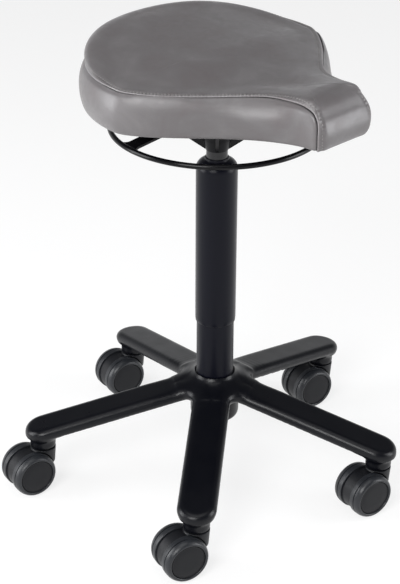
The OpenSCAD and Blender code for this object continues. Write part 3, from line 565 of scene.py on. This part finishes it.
# at finds a point of the grid from its side, column and row; side -1 is the camera's
at = {}
for k, (c, r, x) in enumerate(zip(cols, rows, place[:, 0])):
    for side in (-1, 1):
        if x * side > -1e-6:
            at[side, c, r] = k
route = [at[-1, SEAM_COL, r] for r in range(SEAM_ROW)]
route += [at[-1, c, SEAM_ROW] for c in range(SEAM_COL, 0, -1)]
route += [at[1, c, SEAM_ROW] for c in range(SEAM_COL)]
route += [at[1, SEAM_COL, r] for r in range(SEAM_ROW, -1, -1)]


def evenly(points, pitch):
    """Points at an even pitch along a line, with their distances."""
    run = run_along(points)
    marks = np.arange(0, run[-1], pitch)
    return np.column_stack([np.interp(marks, run, points[:, k]) for k in range(3)]), marks


SEAM_PITCH = 0.4 * MM
seam, seam_run = evenly(place[route], SEAM_PITCH)
seam_tree = KDTree(len(seam))
for k, point in enumerate(seam):
    seam_tree.insert(point, k)
seam_tree.balance()
found = [seam_tree.find(point) for point in place]
away = np.array([hit[2] for hit in found]) / MM
along = seam_run[[hit[1] for hit in found]]
# distance to the seam in mm, and how far the leather moves out there
on_top = (rows > SEAM_ROW) | (cols > SEAM_COL)
top_shape = ([0, 0.5, 1.0, 1.7, 2.8, 4.2, 5.2, 6.0, 6.8, 8.0, 10, 13, 17],
             [-1.5, 0.35, 0.85, 0.8, 0.4, 0.05, -0.25, -0.45, -0.25, 0.1, 0.22, 0.12, 0])
band_shape = ([0, 0.5, 1.4, 2.6, 4.2, 6.4, 9, 12], [-1.5, -0.9, -0.35, 0, 0.18, 0.2, 0.08, 0])
lift = np.where(on_top, np.interp(away, *top_shape), np.interp(away, *band_shape)) * MM
place = place + normals * lift[:, None]
cloth_piece.data.vertices.foreach_set("co", place.ravel())
cloth_piece.data.update()
print("seam length in mm:", round(seam_run[-1] / MM))

# %% [markdown]
# ## Leather
#
# The real cover is dyed full-grain leather with a semi-matt finish. The hide's dye takes
# unevenly, which gives soft warm and cool patches. Its grain is a net of fine pores that breaks
# up the shine. Small puckers stand at the stitches, where the thread pulls. Painted shade darkens
# the seam's groove, and a painted highlight pales the folded edge above it. The seam map holds
# the distance along the seam and away from it, so that the puckers follow the stitches and the
# painted shade and highlight follow the seam.

# %% Leather material
STITCH_PITCH = 4.2 * MM


def leather_finish(name, tint):
    """Dyed full-grain leather: uneven dye, pores, long soft creases, puckers at the stitches, and painted
    shade in the seam's groove with a painted highlight on the fold above it.
    """
    material, tree = start_material(name)
    spot = put(tree, "ShaderNodeTexCoord").outputs["Object"]
    # the dye's patches are about 60 mm across, and the creases about 18 mm apart
    patches = put(tree, "ShaderNodeTexNoise", {"Vector": spot, "Scale": 17.0, "Detail": 5.0,
                                               "Roughness": 0.62, "Distortion": 0.5})
    dye = put(tree, "ShaderNodeValToRGB", {"Fac": patches.outputs["Fac"]})
    ramp_stops(dye, [(0.25, linear(tint[0])), (0.52, linear(tint[1])), (0.78, linear(tint[2]))])
    # the pores are 1.1 mm apart here; a real hide's are finer, but would be lost at this size
    pores = put(tree, "ShaderNodeTexVoronoi", {"Vector": spot, "Scale": 900.0, "Randomness": 1.0},
                feature="DISTANCE_TO_EDGE")
    pore_cut = put(tree, "ShaderNodeMapRange", {"Value": pores.outputs["Distance"], "From Max": 0.22})
    creases = put(tree, "ShaderNodeTexNoise", {"Vector": spot, "Scale": 55.0, "Detail": 4.0,
                                               "Roughness": 0.55, "Distortion": 1.2})
    seam_map = put(tree, "ShaderNodeUVMap", uv_map="seam_map").outputs["UV"]
    split = put(tree, "ShaderNodeSeparateXYZ", {"Vector": seam_map})
    wave = put(tree, "ShaderNodeMath", {0: split.outputs["X"], 1: 2 * math.pi / STITCH_PITCH},
               operation="MULTIPLY")
    wave = put(tree, "ShaderNodeMath", {0: wave.outputs[0]}, operation="SINE")
    near_thread = put(tree, "ShaderNodeFloatCurve", {"Value": put(tree, "ShaderNodeMapRange", {
        "Value": split.outputs["Y"], "From Min": -0.014, "From Max": 0.014}).outputs[0]})
    line = near_thread.mapping.curves[0]
    line.points[0].location, line.points[1].location = (0, 0), (1, 0)
    # the puckers are strongest at the stitches, 6 mm in from the seam, and fade towards it
    for x, y in ((0.36, 0.05), (0.5, 0.25), (0.6, 0.3), (0.71, 1), (0.8, 0.2)):
        line.points.new(x, y)
    near_thread.mapping.update()
    pucker = put(tree, "ShaderNodeMath", {0: wave.outputs[0], 1: near_thread.outputs[0]},
                 operation="MULTIPLY")
    # painted shade and painted highlight: the band is painted darker into the groove, and the folded edge
    # above it is painted paler, as where it catches the light
    painted_seam_light = put(tree, "ShaderNodeValToRGB", {"Fac": put(tree, "ShaderNodeMapRange", {
        "Value": split.outputs["Y"], "From Min": -0.003, "From Max": 0.005}).outputs[0]})
    seam_light_greys = ((0.1, 0.5), (0.33, 0.16), (0.4, 0.3), (0.46, 0.95), (0.57, 0.8), (0.75, 0.5))
    ramp_stops(painted_seam_light, [(place, (grey, grey, grey, 1)) for place, grey in seam_light_greys])
    doubled = put(tree, "ShaderNodeMix", {"Factor": 1.0, 6: painted_seam_light.outputs["Color"],
                                          7: (2.0, 2.0, 2.0, 1)},
                  data_type="RGBA", blend_type="MULTIPLY")
    shade = put(tree, "ShaderNodeMix", {"Factor": 1.0, 6: dye.outputs["Color"],
                                        7: doubled.outputs[2]},
                data_type="RGBA", blend_type="MULTIPLY")
    gloss = put(tree, "ShaderNodeMapRange", {"Value": creases.outputs["Fac"], "From Min": 0.3,
                                             "From Max": 0.7, "To Min": 0.3, "To Max": 0.42})
    bumps = put(tree, "ShaderNodeBump", {"Height": creases.outputs["Fac"], "Strength": 0.16,
                                         "Distance": 0.0012})
    bumps = put(tree, "ShaderNodeBump", {"Height": pore_cut.outputs[0], "Strength": 0.22,
                                         "Distance": 0.00016, "Normal": bumps.outputs[0]})
    bumps = put(tree, "ShaderNodeBump", {"Height": pucker.outputs[0], "Strength": 0.5,
                                         "Distance": 0.0005, "Normal": bumps.outputs[0]})
    add_shader(tree, {"Base Color": shade.outputs[2], "Roughness": gloss.outputs[0],
                      "Normal": bumps.outputs[0], "Specular IOR Level": 0.6, "Sheen Weight": 0.05,
                      "Sheen Roughness": 0.5})
    return material


leather = leather_finish("dyed full-grain leather", ("#5b5556", "#615e5f", "#6f6c6d"))
print("nodes in the leather:", len(leather.node_tree.nodes))

# %% Thread material
# waxed thread is smooth where the wax sits and dull between its twists, so it glints unevenly
thread_coat, tree = start_material("waxed polyester thread")
twist = put(tree, "ShaderNodeTexNoise", {
    "Vector": put(tree, "ShaderNodeTexCoord").outputs["Object"], "Scale": 2500.0, "Detail": 2.0})
lustre = put(tree, "ShaderNodeMapRange", {"Value": twist.outputs["Fac"], "To Min": 0.4, "To Max": 0.7})
add_shader(tree, {"Base Color": linear("#7f7c7b"), "Roughness": lustre.outputs[0]})

# %% [markdown]
# ## Cutting the cover into its two pieces
#
# Now the grid is cut along the seam into the top panel and the side band. Each gets the
# thickness of real upholstery leather, 1.5 mm, inward from its good side. The seam map gets its
# distances here; those on the band count as negative.

# %% Top panel and side band
LEATHER_WALL = 1.5 * MM


def leather_piece(name, keep, nodes):
    """One of the two pieces of leather, cut from the sewn grid along the seam."""
    bm = bmesh.new()
    bm.from_mesh(cloth_piece.data)
    panel = bm.faces.layers.int["panel"]
    seam_map = bm.loops.layers.uv.new("seam_map")
    for face in bm.faces:
        for loop in face.loops:
            k = loop.vert.index
            loop[seam_map].uv = (along[k], away[k] * MM * (1 if keep else -1))
    other = [face for face in bm.faces if face[panel] != keep]
    bmesh.ops.delete(bm, geom=other, context="FACES")
    piece = to_piece(name, bm, leather, "seat", nodes, smooth_angle=180)
    add_modifier(piece, "SOLIDIFY", thickness=LEATHER_WALL, offset=-1, use_even_offset=False)
    add_modifier(piece, "SUBSURF", levels=1, render_levels=1)
    return piece


top_leather = leather_piece("seat_leather_top", 1, ("leather_top", "seat_foam"))
band_leather = leather_piece("seat_leather_band", 0, ("leather_band",))
bpy.data.objects.remove(cloth_piece)
print("top panel faces:", len(top_leather.data.polygons), "band faces:", len(band_leather.data.polygons))

# %% [markdown]
# ## Stitches
#
# Each stitch is a short length of thread that comes up through the leather, lies over it and
# goes down again. They lie in the channel, 6 mm in from the seam, and follow it 4.2 mm apart.

# %% Topstitching
surface = bmesh.new()
surface.from_mesh(top_leather.data)
surface_tree = BVHTree.FromBMesh(surface)
surface.free()
STITCH_IN, STEP, THREAD_SIDES = 6 * MM, 7, 6
line_in = [at[-1, SEAM_COL + STEP, r] for r in range(SEAM_ROW + STEP)]
line_in += [at[-1, c, SEAM_ROW + STEP] for c in range(SEAM_COL + STEP, 0, -1)]
line_in += [at[1, c, SEAM_ROW + STEP] for c in range(SEAM_COL + STEP + 1)]
line_in += [at[1, SEAM_COL + STEP, r] for r in range(SEAM_ROW + STEP - 1, -1, -1)]
channel = []
# the first and the last three points lie under the seat, where nothing is sewn
for point in place[line_in[3:-3]]:
    edge = seam_tree.find(point)[0]
    inward = (Vector(point) - edge).normalized()
    channel.append(tuple(surface_tree.find_nearest(edge + inward * STITCH_IN)[0]))
channel = np.array(channel)
QUARTERS = 4
stitch_points, _ = evenly(channel, STITCH_PITCH / QUARTERS)
thread = bmesh.new()
# one stitch in mm, as [place along it, height over the leather, radius of the thread]
profile = [(-1.55, -0.7, 0.24), (-1.3, -0.15, 0.38), (-0.6, 0.05, 0.44), (0.6, 0.05, 0.44),
           (1.3, -0.15, 0.38), (1.55, -0.7, 0.24)]
count = 0
for k in range(2 * QUARTERS, len(stitch_points) - 2 * QUARTERS, QUARTERS):
    centre = Vector(stitch_points[k])
    ahead = Vector(stitch_points[k + 2] - stitch_points[k - 2]).normalized()
    _, normal, _, _ = surface_tree.find_nearest(centre)
    across = normal.cross(ahead).normalized()
    up = ahead.cross(across)
    frame_here = Matrix((ahead, across, up)).transposed().to_4x4()
    rings = []
    for x, z, r in profile:
        spot = Matrix.Translation(centre) @ frame_here @ Matrix.Translation((x * MM, 0, z * MM))
        ring = bmesh.ops.create_circle(thread, segments=THREAD_SIDES, radius=r * MM,
                                       matrix=spot @ Matrix.Rotation(math.pi / 2, 4, "Y"))["verts"]
        rings.append(ring)
    for low, high in zip(rings, rings[1:]):
        for n in range(THREAD_SIDES):
            beside = (n + 1) % THREAD_SIDES
            thread.faces.new((low[n], low[beside], high[beside], high[n]))
    thread.faces.new(rings[0][::-1])
    thread.faces.new(rings[-1])
    count += 1
bmesh.ops.recalc_face_normals(thread, faces=thread.faces)
to_piece("seat_topstitching", thread, thread_coat, "seat", smooth_angle=60)
print("stitches:", count)

# %% [markdown]
# ## Metals, paints and plastics
#
# Each remaining finish starts from what the real piece is. The base is die-cast aluminium under
# a black powder coat, which melts into a fine orange peel. The column is drawn steel tube under a
# smooth satin paint. The caster hoods and wheel bodies are moulded nylon, with the fine grain of
# a spark-eroded mould. The tyres are soft polyurethane, dull and grey. The moving steel inside
# the column is ground or plated and is left bare.

# %% Finishes for the hard pieces
# painted shade darkens the paint inside the first radius from the column's axis and fades out by the second
PAINTED_SHADE_R, PAINTED_SHADE_FADE_R = 27 * MM, 50 * MM


def coated(name, colour, rough, peel_mm, depth_mm, shine=0.25, worn=None, dust=0.0, painted_shade_core=None):
    """A coat or skin with a fine relief: peel_mm is the size of its bumps, depth_mm their height.

    worn is the colour that it fades to in patches, dust pales it at grazing angles, and the core
    colour is painted shade: the dark colour that it sinks to close to the column's axis.
    """
    material, tree = start_material(name)
    spot = put(tree, "ShaderNodeTexCoord").outputs["Object"]
    peel = put(tree, "ShaderNodeTexNoise", {"Vector": spot, "Scale": 1000 / peel_mm, "Detail": 2.0})
    haze = put(tree, "ShaderNodeTexNoise", {"Vector": spot, "Scale": 28.0, "Detail": 5.0,
                                            "Roughness": 0.6})
    gloss = put(tree, "ShaderNodeMapRange", {"Value": haze.outputs["Fac"], "From Min": 0.3,
                                             "From Max": 0.7, "To Min": rough[0], "To Max": rough[1]})
    tone = put(tree, "ShaderNodeValToRGB", {"Fac": haze.outputs["Fac"]})
    ramp_stops(tone, [(0.3, linear(colour)), (0.75, linear(worn or colour))])
    paint = tone.outputs["Color"]
    # painted shade: near the column's axis the colour sinks to the dark core colour
    if painted_shade_core:
        flat = put(tree, "ShaderNodeVectorMath", {0: spot, 1: (1, 1, 0)}, operation="MULTIPLY")
        reach = put(tree, "ShaderNodeVectorMath", {0: flat.outputs[0]}, operation="LENGTH")
        fade = put(tree, "ShaderNodeMapRange", {"Value": reach.outputs["Value"], "From Min": PAINTED_SHADE_R,
                                                "From Max": PAINTED_SHADE_FADE_R})
        paint = put(tree, "ShaderNodeMix", {"Factor": fade.outputs[0], 6: linear(painted_shade_core), 7: paint},
                    data_type="RGBA").outputs[2]
    bumps = put(tree, "ShaderNodeBump", {"Height": peel.outputs["Fac"], "Strength": 0.5,
                                         "Distance": depth_mm * MM})
    add_shader(tree, {"Base Color": paint, "Roughness": gloss.outputs[0], "Normal": bumps.outputs[0],
                      "Specular IOR Level": shine, "Sheen Weight": dust, "Sheen Roughness": 0.3})
    return material


def turned(name, colour, rough, line_mm, depth_mm):
    """Bare metal that was turned or ground: fine lines run round the upright axis."""
    material, tree = start_material(name)
    spot = put(tree, "ShaderNodeTexCoord").outputs["Object"]
    stretched = put(tree, "ShaderNodeMapping", {"Vector": spot, "Scale": (0.02, 0.02, 1.0)})
    lines = put(tree, "ShaderNodeTexNoise", {"Vector": stretched.outputs[0], "Scale": 1000 / line_mm,
                                             "Detail": 3.0})
    gloss = put(tree, "ShaderNodeMapRange", {"Value": lines.outputs["Fac"], "To Min": rough[0],
                                             "To Max": rough[1]})
    bumps = put(tree, "ShaderNodeBump", {"Height": lines.outputs["Fac"], "Strength": 0.3,
                                         "Distance": depth_mm * MM})
    add_shader(tree, {"Base Color": linear(colour), "Roughness": gloss.outputs[0], "Metallic": 1.0,
                      "Normal": bumps.outputs[0]})
    return material


# %% Paints, plastics and bare steel, each with what it gives the eye
# powder coat melts into soft bumps about 2 mm apart, seen as a slight waver in the shine
casting_coat = coated("black powder coat on cast aluminium", "#06070d", (0.27, 0.36), 2.2, 0.02, 0.28)
# drawn tube is true and smooth, so its satin paint runs evenly from black to a paler edge
satin = ("#060712", (0.28, 0.34), 4.0, 0.003, 0.16)
tube_paint = coated("satin black paint on steel tube", *satin, dust=0.3)
cover_paint = coated("satin black paint on the column cover", *satin, dust=0.3)
# dip paint runs thin over a pressing and stays a flat black with little shine
pressed_paint = coated("black dip paint on pressed steel", "#08080c", (0.28, 0.36), 1.6, 0.02, 0.16)
# painted shade: the ribs' grey is painted down to black in the crook round the socket, under the seat,
# where shade falls
grey_paint = coated("grey powder coat on steel ribs", "#383738", (0.3, 0.42), 1.8, 0.03, 0.2,
                    painted_shade_core="#050509")
# a smooth coat on a round rod gives one thin line of light along it
ring_coat = coated("black powder coat on steel rod", "#07070a", (0.16, 0.22), 2.5, 0.01, 0.2)
# stoved enamel is the hardest and glossiest black here, with small sharp glints
cylinder_coat = coated("black stoved enamel", "#07070c", (0.2, 0.28), 3.0, 0.01, 0.5)
# the mould's spark-eroded grain leaves the hood dull; it is drawn coarser than real, so that it shows
hood_nylon = coated("moulded black nylon", "#121317", (0.42, 0.52), 0.9, 0.03, 0.3)
# the wheel's mould is polished more than the hood's, which gives its cap a dark satin face
wheel_nylon = coated("moulded black nylon wheel", "#0f1014", (0.36, 0.46), 0.6, 0.01, 0.25)
# acetal is dense and a little waxy, so it shines softly
bush_acetal = coated("moulded black acetal", "#18191b", (0.3, 0.36), 0.8, 0.006)
# polypropylene is the dullest of the plastics and scatters what light reaches under the seat
pan_moulding = coated("moulded black polypropylene", "#151517", (0.5, 0.62), 0.9, 0.05, 0.35)
# polyurethane is soft and scuffs, so the tyre is greyer and paler in patches
tyre_rubber = coated("grey polyurethane tyre", "#1d1f23", (0.32, 0.42), 0.7, 0.012, 0.45, worn="#25272b")
# zinc plate is pale and slightly blue, and keeps the turning lines under it
plated = turned("zinc-plated steel", "#b9bec6", (0.28, 0.4), 0.7, 0.01)
# ground steel mirrors, drawn out along its fine rings
ground_steel = turned("ground and polished steel", "#c9ccd1", (0.12, 0.2), 0.5, 0.004)
# the cage is moulded in tan nylon and is matt
cage_nylon = coated("moulded bearing cage", "#8a7b55", (0.4, 0.5), 0.8, 0.01)
print("finishes:", len(bpy.data.materials))

# %% A finish for each CAD node
finishes = {
    "base_star": casting_coat, "standpipe": tube_paint, "column_cover": cover_paint,
    "taper_socket": pressed_paint, "seat_plate": pressed_paint, "seat_spider": grey_paint,
    "seat_screws": plated, "seat_pan": pan_moulding, "release_ring": ring_coat,
    "release_button": ground_steel, "gas_cylinder": cylinder_coat, "cylinder_gland": bush_acetal,
    "guide_bush": bush_acetal, "piston_rod": ground_steel, "piston_head": bush_acetal,
    "rod_clip": plated, "bearing_washer_lower": ground_steel, "bearing_washer_upper": ground_steel,
    "bearing_cage": cage_nylon, "leather_top": leather, "leather_band": leather,
    "seat_foam": pan_moulding,
}
for n in range(1, 6):
    finishes[f"caster_{n}_stem"] = finishes[f"caster_{n}_axle"] = plated
    finishes[f"caster_{n}_hood"] = hood_nylon
    for side in ("left", "right"):
        finishes[f"caster_{n}_wheel_{side}"] = wheel_nylon
        finishes[f"caster_{n}_tyre_{side}"] = tyre_rubber
for node, finish in finishes.items():
    frame["nodes"][node].data.materials.clear()
    frame["nodes"][node].data.materials.append(finish)
print("CAD nodes without a finish:", set(frame["nodes"]) - set(finishes))

# %% [markdown]
# ## Castings and mouldings
#
# A casting has no sharp edges: the mould needs radii to fill, and the powder coat rounds them
# further. So the base starts as a copy of its CAD solid. The copy is rebuilt as an even skin of
# small squares and then relaxed a few times, which rounds every edge by a millimetre or so. Near
# the hub it is relaxed many more times, so that the legs run into it. The nylon caster hoods are
# made as the base is, with finer squares and no mound.

# %% The mound round the hub
HUB_REACH, HUB_CORE, HUB_ROUNDS = 92, 45, 70
MOUND, MOUND_SPREAD = 5, 17
# the rim of the bore is tucked inside the tube, which hides the joint as the press fit does
RIM_REACH, BORE_R = 26.6, 24


def blend_hub(bm):
    """Runs the tops of the legs into the column in one smooth mound, as the casting does."""
    near = [vert for vert in bm.verts if RIM_REACH * MM < vert.co.xy.length < HUB_REACH * MM
            and vert.normal.z > -0.2]
    for limit in np.linspace(HUB_REACH, HUB_CORE, HUB_ROUNDS):
        inner = [vert for vert in near if vert.co.xy.length < limit * MM]
        bmesh.ops.smooth_vert(bm, verts=inner, factor=0.5, use_axis_z=True)
    for vert in near:
        if vert.normal.z > 0:
            vert.co.z += MOUND * MM * float(bump((vert.co.xy.length / MM - BORE_R) / MOUND_SPREAD))
    for vert in bm.verts:
        reach = vert.co.xy.length / MM
        if reach < RIM_REACH:
            vert.co.x *= BORE_R / reach
            vert.co.y *= BORE_R / reach


# %% Soft copies of cast and moulded solids
def soft_copy(name, node, square_mm, rounds, body, blend=None):
    """A CAD solid rebuilt with rounded edges, as casting or moulding leaves them."""
    bm = bmesh.new()
    bm.from_mesh(frame["nodes"][node].data)
    bmesh.ops.remove_doubles(bm, verts=bm.verts, dist=0.01 * MM)
    rough_mesh = bpy.data.meshes.new("rough")
    bm.to_mesh(rough_mesh)
    bm.free()
    rough = new_object("rough", rough_mesh)
    add_modifier(rough, "REMESH", mode="VOXEL", voxel_size=square_mm * MM)
    even = bpy.data.meshes.new_from_object(rough.evaluated_get(bpy.context.evaluated_depsgraph_get()))
    bpy.data.objects.remove(rough)
    bm = bmesh.new()
    bm.from_mesh(even)
    bpy.data.meshes.remove(even)
    for _ in range(rounds):
        bmesh.ops.smooth_vert(bm, verts=bm.verts, factor=0.5, use_axis_x=True, use_axis_y=True,
                              use_axis_z=True)
    if blend:
        blend(bm)
    print(name, "faces:", len(bm.faces))
    return to_piece(name, bm, finishes[node], body, (node,), smooth_angle=180)


CAST_SQUARE, MOULDED_SQUARE = (1.6), 0.8
CAST_ROUNDS, MOULDED_ROUNDS = 5, 3
soft_copy("base_casting", "base_star", CAST_SQUARE, CAST_ROUNDS, "base", blend_hub)
for n in range(1, 6):
    soft_copy(f"caster_{n}_moulded_hood", f"caster_{n}_hood", MOULDED_SQUARE, MOULDED_ROUNDS,
              f"caster_{n}")

# %% [markdown]
# ## Turned and drawn pieces
#
# The column's tubes are drawn steel, and the wheels are moulded round their axle, so all of them
# are true solids of revolution. Each is made as its real section, turned once round its axis. The
# corners of the section get the small radii that a trimmed tube or a mould leaves, because these
# radii catch the thin lines of light that the photograph shows. The CAD nodes give the radius and
# the top of the tube, and the radius, foot and top of its cover. The tube ends level with the
# hub's underside, which only shows from below, so its foot is left plain.

# %% Sections turned round an axis
def arc(r, z, radius, start, end, count=8):
    """Points of a section's rounding, from one angle to another, in degrees."""
    return [(r + radius * math.cos(math.radians(t)), z + radius * math.sin(math.radians(t)))
            for t in np.linspace(start, end, count)]


def turn_section(section_mm, steps):
    """A closed section in mm, as (radius, height) pairs, turned round the Z axis."""
    bm = bmesh.new()
    ring = [bm.verts.new((r * MM, 0, z * MM)) for r, z in section_mm]
    edges = [bm.edges.new(pair) for pair in zip(ring, ring[1:] + ring[:1])]
    bmesh.ops.spin(bm, geom=ring + edges, cent=(0, 0, 0), axis=(0, 0, 1), angle=2 * math.pi,
                   steps=steps, use_merge=True)
    bmesh.ops.remove_doubles(bm, verts=bm.verts, dist=0.002 * MM)
    bmesh.ops.recalc_face_normals(bm, faces=bm.faces)
    return bm


def round_size(node):
    """Radius, foot and top of an upright round CAD node, in mm."""
    spots = [vert.co / MM for vert in frame["nodes"][node].data.vertices]
    heights = [spot.z for spot in spots]
    return tuple(round(size, 1) for size in (max(spot.xy.length for spot in spots),
                                             min(heights), max(heights)))


# %% The standpipe, which narrows a little inside the hub's bore
COLUMN_STEPS, TRIM_R = 128, 0.5
PIPE_WALL, PIPE_START, BORE_TOP, PRESS_TAPER = 1.5, 82, 152, 0.7
PIPE_R, _, PIPE_TOP = round_size("standpipe")
PIPE_IN = PIPE_R - PIPE_WALL
pipe = ([(PIPE_IN, PIPE_START), (PIPE_R - PRESS_TAPER, PIPE_START), (PIPE_R, BORE_TOP)]
        + arc(PIPE_R - TRIM_R, PIPE_TOP - TRIM_R, TRIM_R, 0, 90, 4) + [(PIPE_IN, PIPE_TOP)])
to_piece("column_standpipe", turn_section(pipe, COLUMN_STEPS), tube_paint, "base",
         ("standpipe",))
print("standpipe radius and top in mm:", PIPE_R, PIPE_TOP)

# %% The cover sleeve, with a rounded shoulder and a small collar round the gas cylinder
COVER_R, COVER_FOOT, COVER_TOP = round_size("column_cover")
COVER_WALL, SHOULDER, CYLINDER_R, CYLINDER_GAP = 1.6, 13, 14, 0.25
COLLAR_IN = CYLINDER_R + CYLINDER_GAP
LIP = CYLINDER_R + COVER_WALL
cover_section = (
    [(COVER_R - COVER_WALL, COVER_FOOT + 0.4)]
    + arc(COVER_R - 1.2, COVER_FOOT + TRIM_R, TRIM_R, 180, 270, 4)
    + arc(COVER_R - 0.9, COVER_FOOT + TRIM_R, TRIM_R, 270, 340, 4) + [(COVER_R - 0.05, COVER_FOOT + 5)]
    + [(COVER_R, COVER_FOOT + 6.5)] + arc(COVER_R - SHOULDER, COVER_TOP - 3 - SHOULDER, SHOULDER, 0, 84, 20)
    + arc(LIP + 0.7, COVER_TOP - 2.4, 0.7, 270, 180, 4)
    + arc(LIP - 0.7, COVER_TOP - 0.7, 0.7, 0, 90, 5)
    + [(COLLAR_IN, COVER_TOP), (COLLAR_IN, COVER_TOP - 4.4)]
    + [(COVER_R - SHOULDER, COVER_TOP - 4.6)]
    + arc(COVER_R - SHOULDER, COVER_TOP - 3 - SHOULDER, SHOULDER - COVER_WALL, 84, 0, 14))
to_piece("column_outer_cover", turn_section(cover_section, COLUMN_STEPS), cover_paint, "seat",
         ("column_cover",))
print("cover radius, foot and top in mm:", COVER_R, COVER_FOOT, COVER_TOP)

# %% [markdown]
# ## Wheels
#
# Each caster has two wheels. A soft tyre is moulded over the rim of a nylon wheel: its tread is
# flat with one groove, and its outer shoulder rounds down to the side. The wheel's outer face is a
# flat cap, set a little below the tyre and parted from it by a thin groove.

# %% Sections of a tyre and a wheel, in mm, as (radius, distance out from the caster's middle)
WHEEL_IN, WHEEL_R, RIM_R, LIP_R, CAP_R = 9.4, 30.5, 26.5, 23.9, 23.2
GROOVE_R = WHEEL_R - 1.2
tyre_section = ([(RIM_R + 0.02, WHEEL_IN)] + arc(WHEEL_R - 0.7, WHEEL_IN + 0.7, 0.7, 270, 360, 5)
                + [(WHEEL_R, 15), (WHEEL_R - 0.05, 16.2), (GROOVE_R, 16.5), (GROOVE_R, 17.5),
                   (WHEEL_R - 0.1, 17.8), (30.3, 18.8), (30.0, 20.3), (29.5, 21.9), (28.8, 23.4),
                   (27.9, 24.7), (26.9, 25.6), (25.9, 26.0), (25.0, 25.9), (24.3, 25.5),
                   (LIP_R, 24.9), (LIP_R, 23.2), (RIM_R + 0.02, 22.8)])
wheel_section = ([(0, 22.3), (2.9, 22.3), (2.9, WHEEL_IN + 0.4), (3.3, WHEEL_IN), (6.5, WHEEL_IN),
                  (7, WHEEL_IN + 0.6), (7, 21.4), (23.6, 21.4), (24, WHEEL_IN + 0.5),
                  (24.4, WHEEL_IN), (26.1, WHEEL_IN), (RIM_R, WHEEL_IN + 0.4), (RIM_R, 22.6),
                  (RIM_R - 0.2, 22.8), (CAP_R + 0.2, 22.8), (CAP_R, 23)]
                 + arc(CAP_R - 0.6, 24, 0.6, 0, 80, 5)
                 + [(21.6, 24.64), (21.2, 24.5), (20.8, 24.62), (12, 24.75), (0, 24.8)])

# %% Tyres and wheels on their axles
WHEEL_STEPS = 80


def on_axle(bm, node, joint):
    """Puts a turned piece, made round Z, on the axle of a wheel's joint, on that wheel's side."""
    axis = Vector(joint["axis"]).normalized()
    spots = [vert.co for vert in frame["nodes"][node].data.vertices]
    reach = sorted((spot - Vector(joint["pos_m"])).dot(axis) for spot in spots)
    outward = axis if reach[0] + reach[-1] > 0 else -axis
    inner = min(abs(reach[0]), abs(reach[-1]))
    hub = Vector(joint["pos_m"]) + outward * (inner - WHEEL_IN * MM)
    bmesh.ops.transform(bm, verts=bm.verts, matrix=Matrix.Translation(hub)
                        @ outward.to_track_quat("Z", "Y").to_matrix().to_4x4())
    return bm


spins = {joint["name"]: joint for joint in frame["joints"]}
for n in range(1, 6):
    for side in ("left", "right"):
        joint = spins[f"caster_{n}_{side}_spin"]
        body = f"caster_{n}_{side}_wheel"
        tyre, wheel = f"caster_{n}_tyre_{side}", f"caster_{n}_wheel_{side}"
        to_piece(f"{tyre}_moulded", on_axle(turn_section(tyre_section, WHEEL_STEPS), tyre, joint),
                 tyre_rubber, body, (tyre,), smooth_angle=50)
        to_piece(f"{wheel}_moulded", on_axle(turn_section(wheel_section, WHEEL_STEPS), wheel, joint),
                 wheel_nylon, body, (wheel,), smooth_angle=30)
print("wheels placed:", sum(name.endswith("_spin") and name.startswith("caster") for name in spins))
